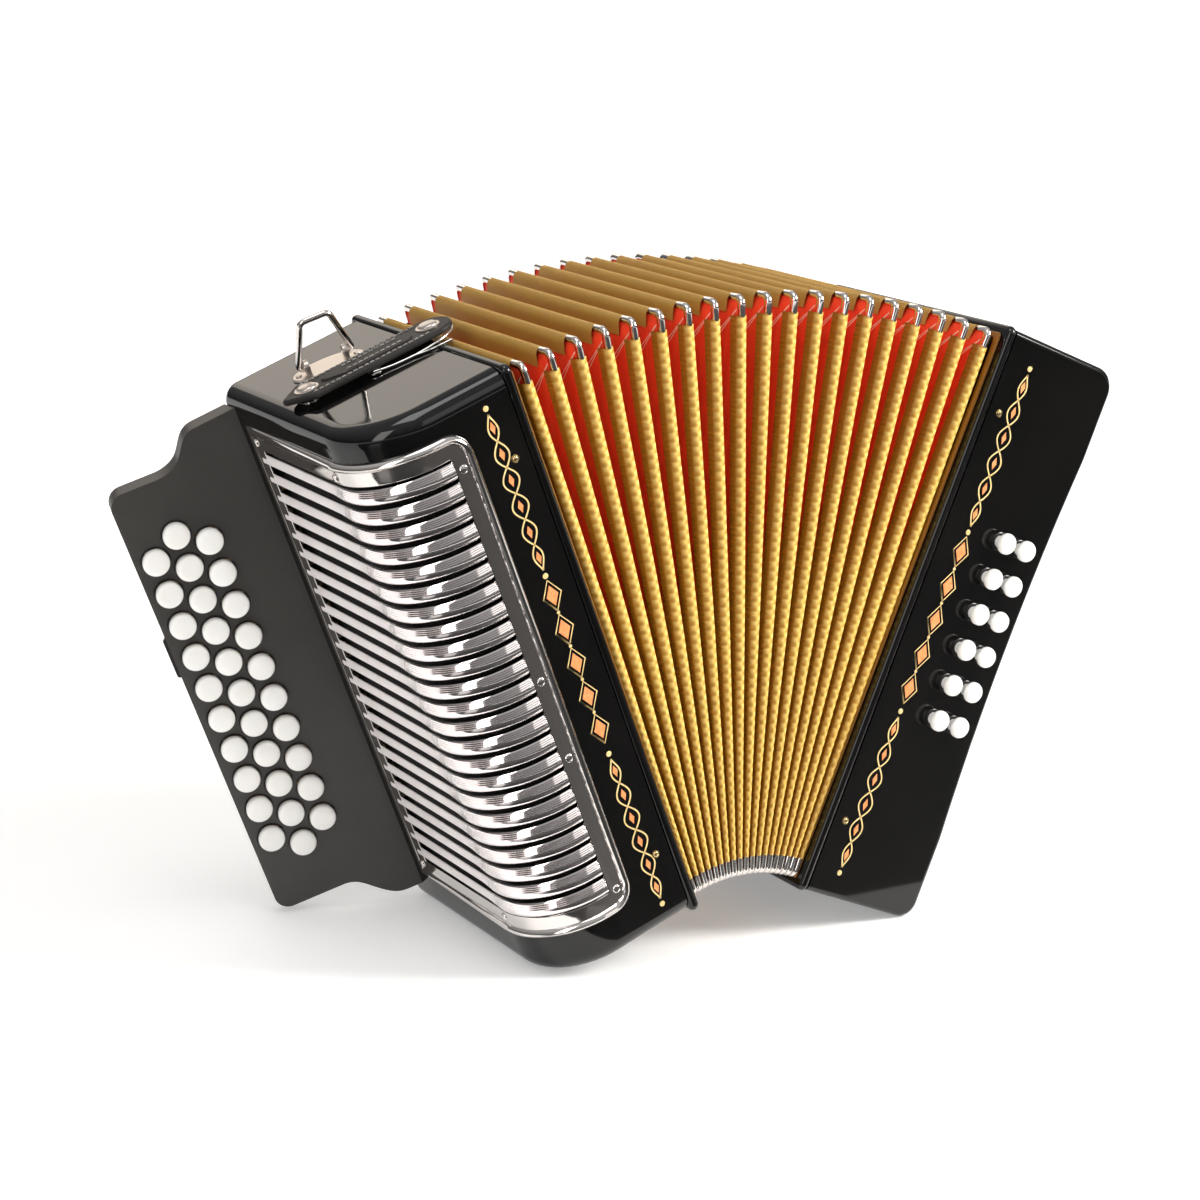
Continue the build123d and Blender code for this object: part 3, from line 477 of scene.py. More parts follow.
def pale_floor():
    """A near-white floor that keeps its brightness far from the lamps."""
    paint = Paint("pale_floor", (0.9, 0.9, 0.9), 0.7, Emission_Color=(1.0, 1.0, 1.0, 1.0))
    paint.colour(paint.blend(paint.noise(2.0, 2.0), (0.90, 0.90, 0.895), (0.92, 0.92, 0.915)))
    reach = paint.node("ShaderNodeVectorMath", operation="LENGTH")
    paint.link(paint.where(), reach.inputs[0])
    glow = paint.remap(reach.outputs["Value"], 0.3, 0.7, 0.3, 3.0, "SMOOTHSTEP")
    paint.link(glow, paint.shader.inputs["Emission Strength"])
    return paint.material


LACQUER = lacquer()
SATIN = board_satin()
CHROME = chrome("chrome", (0.72, 0.69, 0.67), 0.08, 0.18)
BRIGHT = chrome("bright_chrome", (0.76, 0.72, 0.69), 0.05, 0.12)
NICKEL = chrome("worn_nickel", (0.58, 0.52, 0.47), 0.24, 0.4)
BRASS = chrome("brass_pins", (0.82, 0.62, 0.3), 0.12, 0.25)
BARS = grille_metal()
IVORY = ivory()
CLOTH = red_cloth()
BROCADE = brocade()
RIBBED = ribbed_tape()
LEATHER = leather()
RUBBER = rubber()
SPRUCE = wood("soundboard_wood", (0.42, 0.26, 0.12), (0.66, 0.47, 0.27), 60.0)
MAPLE = wood("reed_blocks", (0.38, 0.22, 0.1), (0.6, 0.4, 0.22), 90.0)
DUST_CLOTH = dust_cloth()
CREAM = enamel("cream_inlay", (0.74, 0.53, 0.2), (0.86, 0.66, 0.3))
PEACH = enamel("peach_inlay", (0.84, 0.25, 0.07), (0.93, 0.36, 0.13))
LEATHER_EDGE = enamel("leather_edge", (0.85, 0.42, 0.3), (0.93, 0.6, 0.45))
THREAD = enamel("grey_thread", (0.2, 0.185, 0.17), (0.34, 0.31, 0.29))
# black felt for the button collars and the flag card; also the painted shade rings round the key holes
FELT_AND_SHADE = enamel("black_felt_and_painted_shade", (0.006, 0.006, 0.006), (0.012, 0.011, 0.01))


# ---- shapes: every one is a list of (u, y, w) points and a list of faces ----
def loft(rings, closed=True, capped=True, looped=False, left_out=()):
    """Faces from each ring of points to the next; left_out holds (ring, segment) pairs."""
    count = len(rings[0])
    points = [tuple(point) for ring in rings for point in ring]
    faces = []
    for index in range(len(rings) if looped else len(rings) - 1):
        low = index * count
        high = (index + 1) % len(rings) * count
        for j in range(count if closed else count - 1):
            k = (j + 1) % count
            if (index, j) not in left_out:
                faces.append((low + j, low + k, high + k, high + j))
    if capped and not looped:
        faces.append(tuple(range(count)))
        faces.append(tuple(range(len(points) - count, len(points))))
    return points, faces


def join(shapes):
    """Several shapes as one."""
    points, faces = [], []
    for more_points, more_faces in shapes:
        start = len(points)
        faces += [tuple(start + index for index in face) for face in more_faces]
        points += more_points
    return points, faces


def rounded(corners, closed=True, steps=8):
    """A line through corners, each given as its coordinates and then the radius of its bend."""
    spots = [Vector(corner[:-1]) for corner in corners]
    line = []
    for index, here in enumerate(spots):
        radius = corners[index][-1]
        is_end = not closed and index in (0, len(spots) - 1)
        if is_end or radius <= 0:
            line.append(here)
            continue
        before = (spots[index - 1] - here).normalized()
        after = (spots[(index + 1) % len(spots)] - here).normalized()
        half = before.angle(after) / 2
        centre = here + (before + after).normalized() * (radius / math.sin(half))
        start = here + before * (radius / math.tan(half)) - centre
        end = here + after * (radius / math.tan(half)) - centre
        sweep = math.pi - 2 * half
        for step in range(steps + 1):
            t = step / steps
            bend = start * math.sin((1 - t) * sweep) + end * math.sin(t * sweep)
            line.append(centre + bend / math.sin(sweep))
    return line


def circle(centre, across, other, radius, steps):
    """A ring of points; across and other are two unit vectors of its plane."""
    ring = []
    for step in range(steps):
        turn = 2 * math.pi * step / steps
        ring.append(centre + (across * math.cos(turn) + other * math.sin(turn)) * radius)
    return ring


def lathe(profile, centre, axis, steps=40, capped=True):
    """Turn (radius, height) pairs about an axis through a centre."""
    axis = Vector(axis).normalized()
    across = axis.orthogonal().normalized()
    other = axis.cross(across)
    rings = []
    for radius, height in profile:
        rings.append(circle(Vector(centre) + axis * height, across, other, radius, steps))
    return loft(rings, capped=capped)


def tube(path, radius, steps=14):
    """A round wire along a path."""
    path = [Vector(point) for point in path]
    side = None
    rings = []
    for index, here in enumerate(path):
        ahead = path[min(index + 1, len(path) - 1)] - path[max(index - 1, 0)]
        ahead.normalize()
        side = ahead.orthogonal() if side is None else side - ahead * side.dot(ahead)
        side.normalize()
        rings.append(circle(here, side, ahead.cross(side), radius, steps))
    return loft(rings)


def quarter(radius, steps=6):
    """(inset, depth) pairs of a rounded edge, from the face inwards to the side."""
    pairs = []
    for step in range(steps + 1):
        turn = math.pi / 2 * step / steps
        pairs.append((radius * (1 - math.sin(turn)), radius * (1 - math.cos(turn))))
    return pairs


def rounded_solid(outline, depth, near, far):
    """outline(inset, depth) gives a ring; both edges are rounded, by near and far."""
    rings = [outline(inset, below) for inset, below in quarter(near)]
    rings += [outline(inset, depth - below) for inset, below in reversed(quarter(far))]
    return loft(rings)


def add_object(name, data):
    made = bpy.data.objects.new(name, data)
    bpy.context.scene.collection.objects.link(made)
    return made


def raised_plate(outline, thickness):
    """outline(inset, depth) gives a ring; only the upper edge is rounded."""
    return loft([outline(inset, below) for inset, below in quarter(0.8)] + [outline(0, thickness)])


def finish_mesh(mesh, material, sharp):
    """Give a new mesh its material, outward faces and smooth shading."""
    mesh.materials.append(material)
    work = bmesh.new()
    work.from_mesh(mesh)
    bmesh.ops.recalc_face_normals(work, faces=work.faces)
    work.to_mesh(mesh)
    work.free()
    mesh.shade_smooth()
    mesh.set_sharp_from_angle(angle=math.radians(sharp))


def make(name, shape, lean, material, body, slot, sharp=38, thickness=0.0, weighted=True, nodes=()):
    """A piece built of one shape, which rides on a body and may stand for CAD nodes."""
    points, faces = shape
    mesh = bpy.data.meshes.new(name)
    mesh.from_pydata([place(lean, *point) for point in points], [], faces)
    finish_mesh(mesh, material, sharp)
    piece = add_object(name, mesh)
    if thickness:
        wall = piece.modifiers.new("wall", "SOLIDIFY")
        wall.thickness = thickness * MM
        wall.offset = -1
    if weighted:
        normals = piece.modifiers.new("flat_faces", "WEIGHTED_NORMAL")
        normals.keep_sharp = True
    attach(piece, body)
    if nodes:
        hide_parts(*nodes)
    return piece


def treble(name, shape, material, slot, body="treble_side", **options):
    return make(name, shape, TREBLE_LEAN, material, body, slot, **options)


def bass(name, shape, material, slot, body="bass_side", **options):
    return make(name, shape, BASS_LEAN, material, body, slot, **options)


DOME = ((1.0, 0.0), (1.0, 0.25), (0.96, 0.5), (0.86, 0.72), (0.7, 0.87), (0.45, 0.97), (0.15, 1.0))


def dome(radius, height, centre, axis, steps=28):
    profile = [(radius * share, height * rise) for share, rise in DOME]
    return lathe(profile, centre, axis, steps)


# ---- cases ----
def treble_shell():
    """The treble case: rounded at the outer corners, with a window behind the grille."""
    window_front = GRILLE_FRONT_U - GRILLE_BORDER
    window_back = GRILLE_BACK_Y - GRILLE_BORDER / 2

    def outline(inset, w):
        left = -TREBLE_WIDTH + inset
        back = CASE_DEPTH - inset
        corners = [
            (-RAIL_WIDTH, inset, 0), (window_front, inset, 0), (left, inset, GRILLE_CORNER - inset),
            (left, window_back, 0), (left, back, RIM + 0.5 - inset), (-RAIL_WIDTH, back, 0),
        ]
        return [(u, y, w) for u, y in rounded(corners, steps=12)]

    edge = quarter(RIM, 8)
    rings = [outline(inset, below) for inset, below in edge]
    rings.append(outline(0, GRILLE_BOTTOM + GRILLE_BORDER))
    rings.append(outline(0, GRILLE_TOP - GRILLE_BORDER))
    rings += [outline(inset, CASE_HEIGHT - below) for inset, below in reversed(edge)]
    window_ring = len(edge)
    window = {(window_ring, segment) for segment in range(1, 15)}
    shape = loft(rings, left_out=window)
    treble("treble_shell", shape, LACQUER, "black_lacquer", thickness=SHELL, nodes=["treble_case"])


def rail(out):
    """The lipped frame that holds the bellows, from the seam outwards."""
    profile = [(13, 0), (3, 0), (0.9, 0.9), (0.2, 2.0), (0, 3), (0.2, 4.0), (0.9, 5.1), (3, 6), (13, 6)]
    rings = []
    for inset, away in profile:
        low = -RAIL_LIP + inset
        back = CASE_DEPTH + RAIL_LIP - inset
        top = CASE_HEIGHT + RAIL_LIP - inset
        radius = max(4.0 - inset, 0.6)
        corners = [(low, low, radius), (back, low, radius), (back, top, radius), (low, top, radius)]
        rings.append([(out * away, y, w) for y, w in rounded(corners, steps=5)])
    return loft(rings, looped=True)


def rail_binding(out):
    """Gold binding along the bellows side of a rail."""
    profile = [(7.0, 0.05), (4.6, 0.05), (4.1, 0.7), (4.4, 1.5), (5.4, 2.0), (7.0, 2.1)]
    rings = []
    for inset, away in profile:
        far_y = CASE_DEPTH - inset
        far_w = CASE_HEIGHT - inset
        corners = [(inset, inset, 2), (far_y, inset, 2), (far_y, far_w, 2), (inset, far_w, 2)]
        rings.append([(-out * away, y, w) for y, w in rounded(corners, steps=5)])
    return loft(rings, looped=True)


def bellows_pins(u):
    """Dome-headed pins on the front and the back of a case."""
    heads = []
    for w in PIN_ROWS:
        for y, out in ((0.0, -1), (CASE_DEPTH, 1)):
            heads.append(dome(1.5, 1.3, (u, y, w), (0, out, 0)))
            heads.append(lathe([(2.1, 0), (2.1, 0.2), (1.6, 0.35)], (u, y, w), (0, out, 0), 28))
    return join(heads)


def bass_shell():
    """The bass case, whose end is scooped for the player's hand."""
    middle = sum(SCOOP_HEIGHTS) / 2
    half = middle - SCOOP_HEIGHTS[0]

    def outline(inset, y):
        right = BASS_WIDTH - inset
        top = CASE_HEIGHT - inset
        corners = [(RAIL_WIDTH, inset, 0), (right, inset, 10.0 - inset)]
        for step in range(13):
            across = step / 6 - 1
            corners.append((right - BASS_SCOOP * (1 - across**2), middle + half * across, 0))
        corners += [(right, top, 12.0 - inset), (RAIL_WIDTH, top, 0)]
        return [(u, y, w) for u, w in rounded(corners, steps=10)]

    shape = rounded_solid(outline, CASE_DEPTH, 3.0, 3.0)
    bass("bass_shell", shape, LACQUER, "black_lacquer", nodes=["bass_case"])


def make_cases():
    treble_shell()
    treble("treble_rail", rail(-1), LACQUER, "black_lacquer")
    treble("treble_binding", rail_binding(-1), BROCADE, "bellows")
    treble("treble_pins", bellows_pins(TREBLE_PIN_U), BRASS, "chrome")
    bass_shell()
    bass("bass_rail", rail(1), LACQUER, "black_lacquer")
    bass("bass_binding", rail_binding(1), BROCADE, "bellows")
    bass("bass_pins", bellows_pins(BASS_PIN_U), BRASS, "chrome")


# ---- inlays on the two front faces ----
def inlay(outline):
    """A flat raised shape on a front face, from its (u, w) outline."""
    return loft([[(u, y, w) for u, w in outline] for y in (INLAY_BACK, INLAY_FACE)])


def inlay_line(path, width):
    """A line of even width on a front face."""
    sections = []
    for index, (u, w) in enumerate(path):
        before = Vector(path[max(index - 1, 0)])
        after = Vector(path[min(index + 1, len(path) - 1)])
        side = (after - before).orthogonal().normalized() * width / 2
        corners = ((1, INLAY_FACE), (-1, INLAY_FACE), (-1, INLAY_BACK), (1, INLAY_BACK))
        sections.append([(u + sign * side.x, y, w + sign * side.y) for sign, y in corners])
    return loft(sections)


def lozenge(u, w, half_width, half_height):
    """The four corners of a lozenge about a point."""
    return [(u - half_width, w), (u, w - half_height), (u + half_width, w), (u, w + half_height)]


def inlay_dot(u, w, radius):
    return dome(radius, 0.3, (u, 0.05, w), (0, -1, 0), 20)


def plait(u, low):
    """Two lines that cross like a plait, with a dot beyond each end."""
    lines = []
    for side in (-1, 1):
        path = []
        for step in range(PLAIT_STEPS + 1):
            t = step / PLAIT_STEPS
            swing = math.sin(2 * math.pi * PLAIT_TURNS * t) * side
            path.append((u + PLAIT_WIDTH * swing * math.sin(math.pi * t) ** 0.4, low + t * PLAIT_LENGTH))
        lines.append(inlay_line(path, 0.8))
    ends = [inlay_dot(u, low - 3.2, 1.5), inlay_dot(u, low + PLAIT_LENGTH + 3.2, 1.5)]
    return join(lines + ends)


def plait_beads(u, low):
    """A small lozenge in each opening of a plait."""
    beads = []
    for index in range(2 * PLAIT_TURNS):
        w = low + (index + 0.5) / (2 * PLAIT_TURNS) * PLAIT_LENGTH
        beads.append(inlay(lozenge(u, w, 1.5, 3.4)))
    return join(beads)


def lozenge_row(u, middle):
    """Lozenges in a column, as (filled centres, outlines and dots)."""
    centres, outlines = [], []
    for index in range(LOZENGES):
        w = middle + (index - (LOZENGES - 1) / 2) * LOZENGE_PITCH
        centres.append(inlay(lozenge(u, w, 3.4, 5.6)))
        edge = lozenge(u, w, 5.2, 8.4)
        outlines.append(inlay_line(edge + edge[:2], 0.7))
        if index:
            outlines.append(inlay_dot(u, w - LOZENGE_PITCH / 2, 0.9))
    return join(centres), join(outlines)


def make_inlays():
    for label, add, u, plait_rows, middle in (
        ("treble", treble, -19.5, (209.0, 17.0), 157.0),
        ("bass", bass, 22.0, (207.0, 17.0), 155.0),
    ):
        cream = [plait(u, low) for low in plait_rows]
        peach = [plait_beads(u, low) for low in plait_rows]
        centres, outlines = lozenge_row(u, middle)
        add(f"{label}_cream_inlay", join(cream + [outlines]), CREAM, "black_lacquer", weighted=False)
        add(f"{label}_peach_inlay", join(peach + [centres]), PEACH, "black_lacquer", weighted=False)


# ---- grille ----
def wrap(along, w, out):
    """A point off the case's side, round corner or front, from the grille's back end."""
    centre_u = -TREBLE_WIDTH + GRILLE_CORNER
    if along < GRILLE_SIDE:
        return (-TREBLE_WIDTH - out, GRILLE_BACK_Y - along, w)
    if along < GRILLE_SIDE + GRILLE_ARC:
        turn = (along - GRILLE_SIDE) / GRILLE_CORNER
        radius = GRILLE_CORNER + out
        return (centre_u - radius * math.cos(turn), GRILLE_CORNER - radius * math.sin(turn), w)
    return (centre_u + along - GRILLE_SIDE - GRILLE_ARC, -out, w)


def grille_frame():
    """The pressed border: a round bead outside and a flat strip inside it."""
    stations = [GRILLE_SIDE + GRILLE_ARC * step / 20 for step in range(21)]
    profile = [
        (0.0, 0.1), (0.3, 1.3), (1.1, 2.5), (2.3, 3.0), (3.5, 2.5), (4.3, 1.4), (4.7, 0.8),
        (7.5, 0.8), (11.4, 0.8), (12.0, 0.4), (12.0, -0.5), (0.0, -0.5),
    ]
    rings = []
    for inset, out in profile:
        near, far = inset, GRILLE_LENGTH - inset
        low, high = GRILLE_BOTTOM + inset, GRILLE_TOP - inset
        bend = max(13.0 - inset, 1.5)
        corners = [(near, low, 1.0)]
        corners += [(along, low, 0) for along in stations]
        corners += [(far, low, bend), (far, high, bend)]
        corners += [(along, high, 0) for along in reversed(stations)]
        corners.append((near, high, 1.0))
        ring = []
        for along, w in rounded(corners, steps=8):
            rise = out if out < 0.8 else 0.8 + (out - 0.8) * smooth(1.0, 8.0, along)
            ring.append(wrap(along, w, rise))
        rings.append(ring)
    return loft(rings, looped=True)


BAR_FACE = (
    (-1.0, 0.0), (-0.97, 0.35), (-0.86, 0.68), (-0.68, 0.9), (-0.45, 1.0), (-0.22, 0.98),
    (-0.02, 0.92),
)


def bar_section(half, height):
    """(w, out) pairs across one bar: a round lower face, then fine grooves above it."""
    pairs = list(BAR_FACE)
    for groove in range(4):
        start = 0.05 + 0.21 * groove
        level = 0.89 - 0.13 * groove
        pairs += [(start, level), (start + 0.03, level - 0.09), (start + 0.06, level - 0.03)]
        pairs.append((start + 0.15, level - 0.09))
    pairs += [(0.94, 0.3), (1.0, 0.0), (1.0, -0.2), (-1.0, -0.2)]
    return [(across * half, out * height) for across, out in pairs]


def grille_bar(middle, pitch):
    """One bar, thin along the side and tall and wide from the corner on."""
    start = GRILLE_BORDER / 2
    end = GRILLE_LENGTH - GRILLE_BORDER
    stations = [start + along for along in (0, 0.8, 20, 40, 60)]
    stations += [GRILLE_SIDE - 12, GRILLE_SIDE - 6]
    stations += [GRILLE_SIDE + GRILLE_ARC * step / 20 for step in range(21)]
    stations += [end - 1.0, end - 0.4, end]
    rings = []
    for along in stations:
        corner = smooth(GRILLE_SIDE - 15, GRILLE_SIDE + 22, along)
        ending = smooth(0, 0.8, end - along) * smooth(0, 0.8, along - start)
        front = smooth(GRILLE_SIDE + GRILLE_ARC * 0.4, GRILLE_SIDE + GRILLE_ARC * 1.1, along)
        height = (1.1 + 2.3 * corner - 0.5 * front) * (0.25 + 0.75 * ending)
        half = pitch * (0.255 + 0.12 * corner + 0.035 * front)
        section = bar_section(half, height)
        rings.append([wrap(along, middle + across, out) for across, out in section])
    return loft(rings)


def make_grille():
    low = GRILLE_BOTTOM + GRILLE_BORDER
    pitch = (GRILLE_TOP - GRILLE_BOTTOM - 2 * GRILLE_BORDER) / GRILLE_BARS
    treble("grille_frame", grille_frame(), BRIGHT, "chrome", nodes=["grille"])
    bars = [grille_bar(low + (index + 0.5) * pitch, pitch) for index in range(GRILLE_BARS)]
    treble("grille_bars", join(bars), BARS, "chrome", sharp=30, weighted=False)
    heads = []
    for w in FRONT_SCREW_ROWS:
        heads.append(dome(2.3, 1.3, (GRILLE_FRONT_U - 8.0, -0.6, w), (0, -1, 0)))
    for y in SIDE_SCREW_YS:
        for w in (GRILLE_BOTTOM + SCREW_INSET, GRILLE_TOP - SCREW_INSET):
            heads.append(dome(2.3, 1.3, (-TREBLE_WIDTH - 0.6, y, w), (-1, 0, 0)))
    treble("grille_screws", join(heads), BRIGHT, "chrome")


# ---- fingerboard and keys ----
def board(reach, w, behind):
    """A point at a distance out along the fingerboard and behind its playing surface."""
    u = -TREBLE_WIDTH - reach * math.cos(BOARD_TILT) + behind * math.sin(BOARD_TILT)
    y = BOARD_ROOT_Y + reach * math.sin(BOARD_TILT) + behind * math.cos(BOARD_TILT)
    return (u, y, w)


def key_spots():
    """(column, row, w) of every treble key; row 1 is the lowest."""
    for column, count in KEY_COUNTS.items():
        offset = 0.0 if column == "middle" else 0.5
        for row in range(count):
            yield column, row + 1, KEY_FIRST_ROW + (row + offset) * KEY_ROW_PITCH


CAP_PROFILE = (
    (6.5, 0.25), (6.85, 0.5), (6.95, 1.4), (6.95, 3.0), (6.8, 3.75), (6.4, 4.4), (5.7, 4.85),
    (4.4, 5.2), (2.6, 5.4), (0.6, 5.48),
)


def key_hole_shade_ring(seat, front):
    """A dark ring round a hole of the fingerboard: painted shade on the hole's lip and on the board just
    round it.
    """
    profile = [(KEY_HOLE, -0.6), (KEY_HOLE, 0.05), (KEY_HOLE + 0.25, 0.15), (KEY_SHADE_RING_RADIUS, 0.02)]
    return lathe(profile, seat, front, capped=False)


def make_keyboard():
    """A domed cap on every key, and a ring of painted shade round every hole."""
    front = Vector(board(0, 0, -1)) - Vector(board(0, 0, 0))
    shade_rings = []
    for column, row, w in key_spots():
        seat = board(COLUMN_REACH[column], w, 0)
        shade_rings.append(key_hole_shade_ring(seat, front))
        node = f"treble_key_{column}_{row:02d}"
        cap = lathe(CAP_PROFILE, seat, front, 48)
        treble(f"cap_{column}_{row:02d}", cap, IVORY, "key_ivory", body=node, weighted=False)
    treble("key_hole_shade_rings", join(shade_rings), FELT_AND_SHADE, "board_satin", weighted=False)


# ---- bass and air buttons ----
def push_button(seat, axis, cap_radius, length):
    """A domed cap and its shaft; axis points outwards from the case."""
    profile = [(0.5, BASS_STAND), (cap_radius * 0.5, BASS_STAND - 0.15)]
    for share, drop in ((0.8, 0.6), (0.93, 1.2), (1.0, 2.2), (1.0, 3.6), (0.94, 4.1)):
        profile.append((cap_radius * share, BASS_STAND - drop))
    profile += [(BASS_SHAFT_RADIUS, BASS_STAND - 4.3), (BASS_SHAFT_RADIUS, BASS_STAND - length)]
    return lathe(profile, seat, axis, 40)


def make_buttons():
    forwards = (0, -1, 0)
    collar = [(5.0, -0.1), (5.0, 0.35), (4.6, 0.6), (3.6, 0.6), (3.45, 0.2)]
    collars = []
    for column, u in BASS_COLUMNS.items():
        for row in range(BASS_ROWS):
            seat = (u, 0, BASS_FIRST_ROW + row * BASS_ROW_PITCH)
            node = f"bass_button_{column}_{row + 1}"
            shape = push_button(seat, forwards, BASS_CAP_RADIUS, BASS_BUTTON_LENGTH)
            bass(f"{node}_turned", shape, IVORY, "bass_ivory", body=node, weighted=False, nodes=[node])
            collars.append(lathe(collar, seat, forwards, 28))
    node = "air_button"
    shape = push_button(AIR_BUTTON, (1, 0, 0), AIR_CAP_RADIUS, BASS_BUTTON_LENGTH)
    bass("air_cap", shape, IVORY, "bass_ivory", body=node, weighted=False, nodes=[node])
    bass("button_collars", join(collars), FELT_AND_SHADE, "board_satin", weighted=False)


# ---- feet, straps and bails ----
def make_feet():
    feet = []
    profile = [(6.5, 0), (6.5, 3.4), (6.2, 4.4), (5.4, 5.0), (3.4, 5.0), (3.0, 4.2), (0.4, 4.2)]
    for y in (FOOT_INSET, CASE_DEPTH - FOOT_INSET):
        for w in FOOT_ROWS:
            feet.append(lathe(profile, (BASS_WIDTH, y, w), (1, 0, 0), 36))
    bass("rubber_feet_turned", join(feet), RUBBER, "rubber", nodes=["rubber_feet"])


def bail_point(x, y, z, up):
    """From the bail plate's own frame to the case's; up is 1 on the top and -1 on the bottom."""
    spot = Matrix.Rotation(BAIL_TURN, 3, "Z") @ Vector((x, y * up, 0))
    base = CASE_HEIGHT if up > 0 else 0.0
    return (BAIL_CENTRE[0] + spot.x, BAIL_CENTRE[1] + spot.y, base + up * z)


def bail_plate(up):
    """An oval plate with two ears for the wire, and two rivets."""
    length, width = BAIL_PLATE_SIZE

    def outline(inset, below):
        ring = []
        for step in range(48):
            turn = 2 * math.pi * step / 48
            x, y = (length - inset) * math.cos(turn), (width - inset) * math.sin(turn)
            ring.append(bail_point(x, y, BAIL_PLATE_THICKNESS - below, up))
        return ring

    shapes = [raised_plate(outline, BAIL_PLATE_THICKNESS)]
    for side in (-1, 1):
        faces = []
        for x in (9.2, 11.2):
            ear = rounded([(-4, 0.2, 0), (4, 0.2, 0), (4, 8, 3.8), (-4, 8, 3.8)], steps=6)
            faces.append([bail_point(side * x, y, z, up) for y, z in ear])
        shapes.append(loft(faces))
    for x in (-15.5, 15.5):
        shapes.append(dome(1.7, 0.9, bail_point(x, 0, 1.1, up), (0, 0, up)))
    return join(shapes)


def bail_wire(up, lean):
    """The tapered wire loop, leaned by an angle about its two feet."""
    corners = [
        (-8.7, 0, 0, 0), (-14.5, 0, 0, 2.4), (-7.5, 0, 29, 3.6),
        (7.5, 0, 29, 3.6), (14.5, 0, 0, 2.4), (8.7, 0, 0, 0),
    ]
    path = []
    for point in rounded(corners, closed=False, steps=9):
        y = -point.z * math.sin(lean)
        z = point.z * math.cos(lean) + BAIL_LUG
        path.append(bail_point(point.x, up * y, z, up))
    return tube(path, BAIL_WIRE, 18)


def make_bails():
    for name, up, lean in (("top", 1, 25.0), ("bottom", -1, 84.0)):
        treble(f"bail_plate_{name}", bail_plate(up), NICKEL, "chrome")
        wire = bail_wire(up, math.radians(lean))
        node = f"strap_bail_{name}"
        treble(f"bail_wire_{name}", wire, BRIGHT, "chrome", body=f"bail_{name}", nodes=[node])


def strap_ring(inset, z, left, right, half):
    """An outline in the strap's plane, pointed at the left and round at the right."""
    tip = 14.0 - inset * 0.4
    bend = max(half - inset - 0.2, 1.0)
    corners = [
        (left + inset + tip, -half + inset, 2.0),
        (right - inset, -half + inset, bend),
        (right - inset, half - inset, bend),
        (left + inset + tip, half - inset, 2.0),
        (left + inset * 1.4, 0, 2.5),
    ]
    return [(u, STRAP_Y + y, z) for u, y in rounded(corners, steps=8)]


def strap_layer(top, left, right, half, depth, near, far):
    """A flat layer of leather whose upper face lies at a height."""

    def outline(inset, below):
        return strap_ring(inset, top - below, left, right, half)

    return rounded_solid(outline, depth, near, far)


def stitch_row(left, right, y, z):
    """A row of raised stitches along a strap."""
    stitches = []
    for index in range(int((right - left) / STITCH_PITCH)):
        u = left + index * STITCH_PITCH
        path = [(u + along, y, z + rise) for along, rise in ((0, 0), (0.5, 0.22), (1.6, 0.22), (2.1, 0))]
        stitches.append(tube(path, 0.38, 8))
    return stitches


def make_bellows_strap():
    left, right = STRAP_ENDS
    face = CASE_HEIGHT + STRAP_LIFT + STRAP_THICKNESS
    node = "bellows_strap"
    strap = strap_layer(face, left, right, STRAP_WIDTH / 2, STRAP_THICKNESS, 1.3, 0.8)
    treble("strap_leather", strap, LEATHER, "black_leather", body=node, nodes=[node])
    pad = strap_layer(face + PAD_RISE, left + 20, right - 22, 6.5, 1.2, 0.8, 0.2)
    treble("strap_pad", pad, LEATHER, "black_leather", body=node)
    stitches = []
    for y in (-8.6, 8.6):
        stitches += stitch_row(left + 15, right - 12, STRAP_Y + y, face + 0.05)
    for y in (-3.4, 3.4):
        stitches += stitch_row(left + 37, right - 28, STRAP_Y + y, face + PAD_RISE + 0.05)
    treble("strap_stitches", join(stitches), THREAD, "black_leather", body=node, weighted=False)
    up = (0, 0, 1)
    snaps = []
    for u in STRAP_SNAPS:
        snaps.append(lathe([(6.2, 0), (6.2, 0.4), (5.4, 0.7), (0.4, 0.7)], (u, STRAP_Y, face), up))
        snaps.append(dome(4.9, 1.7, (u, STRAP_Y, face + 0.4), up, 40))
    treble("strap_snaps", join(snaps), NICKEL, "chrome", body=node)
    foot = (STRAP_SNAPS[0], STRAP_Y, CASE_HEIGHT)
    stud = lathe([(5.5, 0), (5.5, 0.5), (3.5, 0.8), (3.5, 2.3)], foot, up)
    treble("strap_stud", stud, BRIGHT, "chrome")


def smooth_path(points, steps=8):
    """A Catmull-Rom curve through points."""
    spots = [Vector(point) for point in points]
    spots = [2 * spots[0] - spots[1]] + spots + [2 * spots[-1] - spots[-2]]
    line = []
    for a, b, c, d in zip(spots, spots[1:], spots[2:], spots[3:]):
        for step in range(steps):
            t = step / steps
            bend = (2 * a - 5 * b + 4 * c - d) * t**2 + (3 * b - a - 3 * c + d) * t**3
            line.append((2 * b + (c - a) * t + bend) / 2)
    line.append(spots[-2])
    return line


def make_strap_spring():
    """The wire spring and its clip under the bellows strap."""
    base = CASE_HEIGHT + STRAP_LIFT
    front = STRAP_Y - STRAP_WIDTH / 2
    spring = (
        (11.5, 7.0, -0.4), (7.0, 0.5, -0.5), (-3.0, -3.5, -0.8),
        (-15.0, -4.0, -1.4), (-28.0, -2.4, -1.5), (-38.0, 0.5, -1.0),
    )
    prong = ((-17.0, -4.2, -1.4), (-10.0, -6.5, -1.5), (-5.0, -9.0, -0.9), (2.0, -10.0, -0.7))
    shapes = []
    for wire, radius in ((spring, 0.65), (prong, 0.5)):
        path = smooth_path([(u, front + out, base + rise) for u, out, rise in wire])
        shapes.append(tube(path, radius, 12))
    seat = (-37.0, front + 0.6, base - 1.6)
    shapes.append(lathe([(3.6, 0), (3.6, 0.5), (2.8, 0.9), (0.5, 0.9)], seat, (0, 0, 1), 32))
    treble("strap_spring", join(shapes), BRIGHT, "chrome", body="bellows_strap", weighted=False)


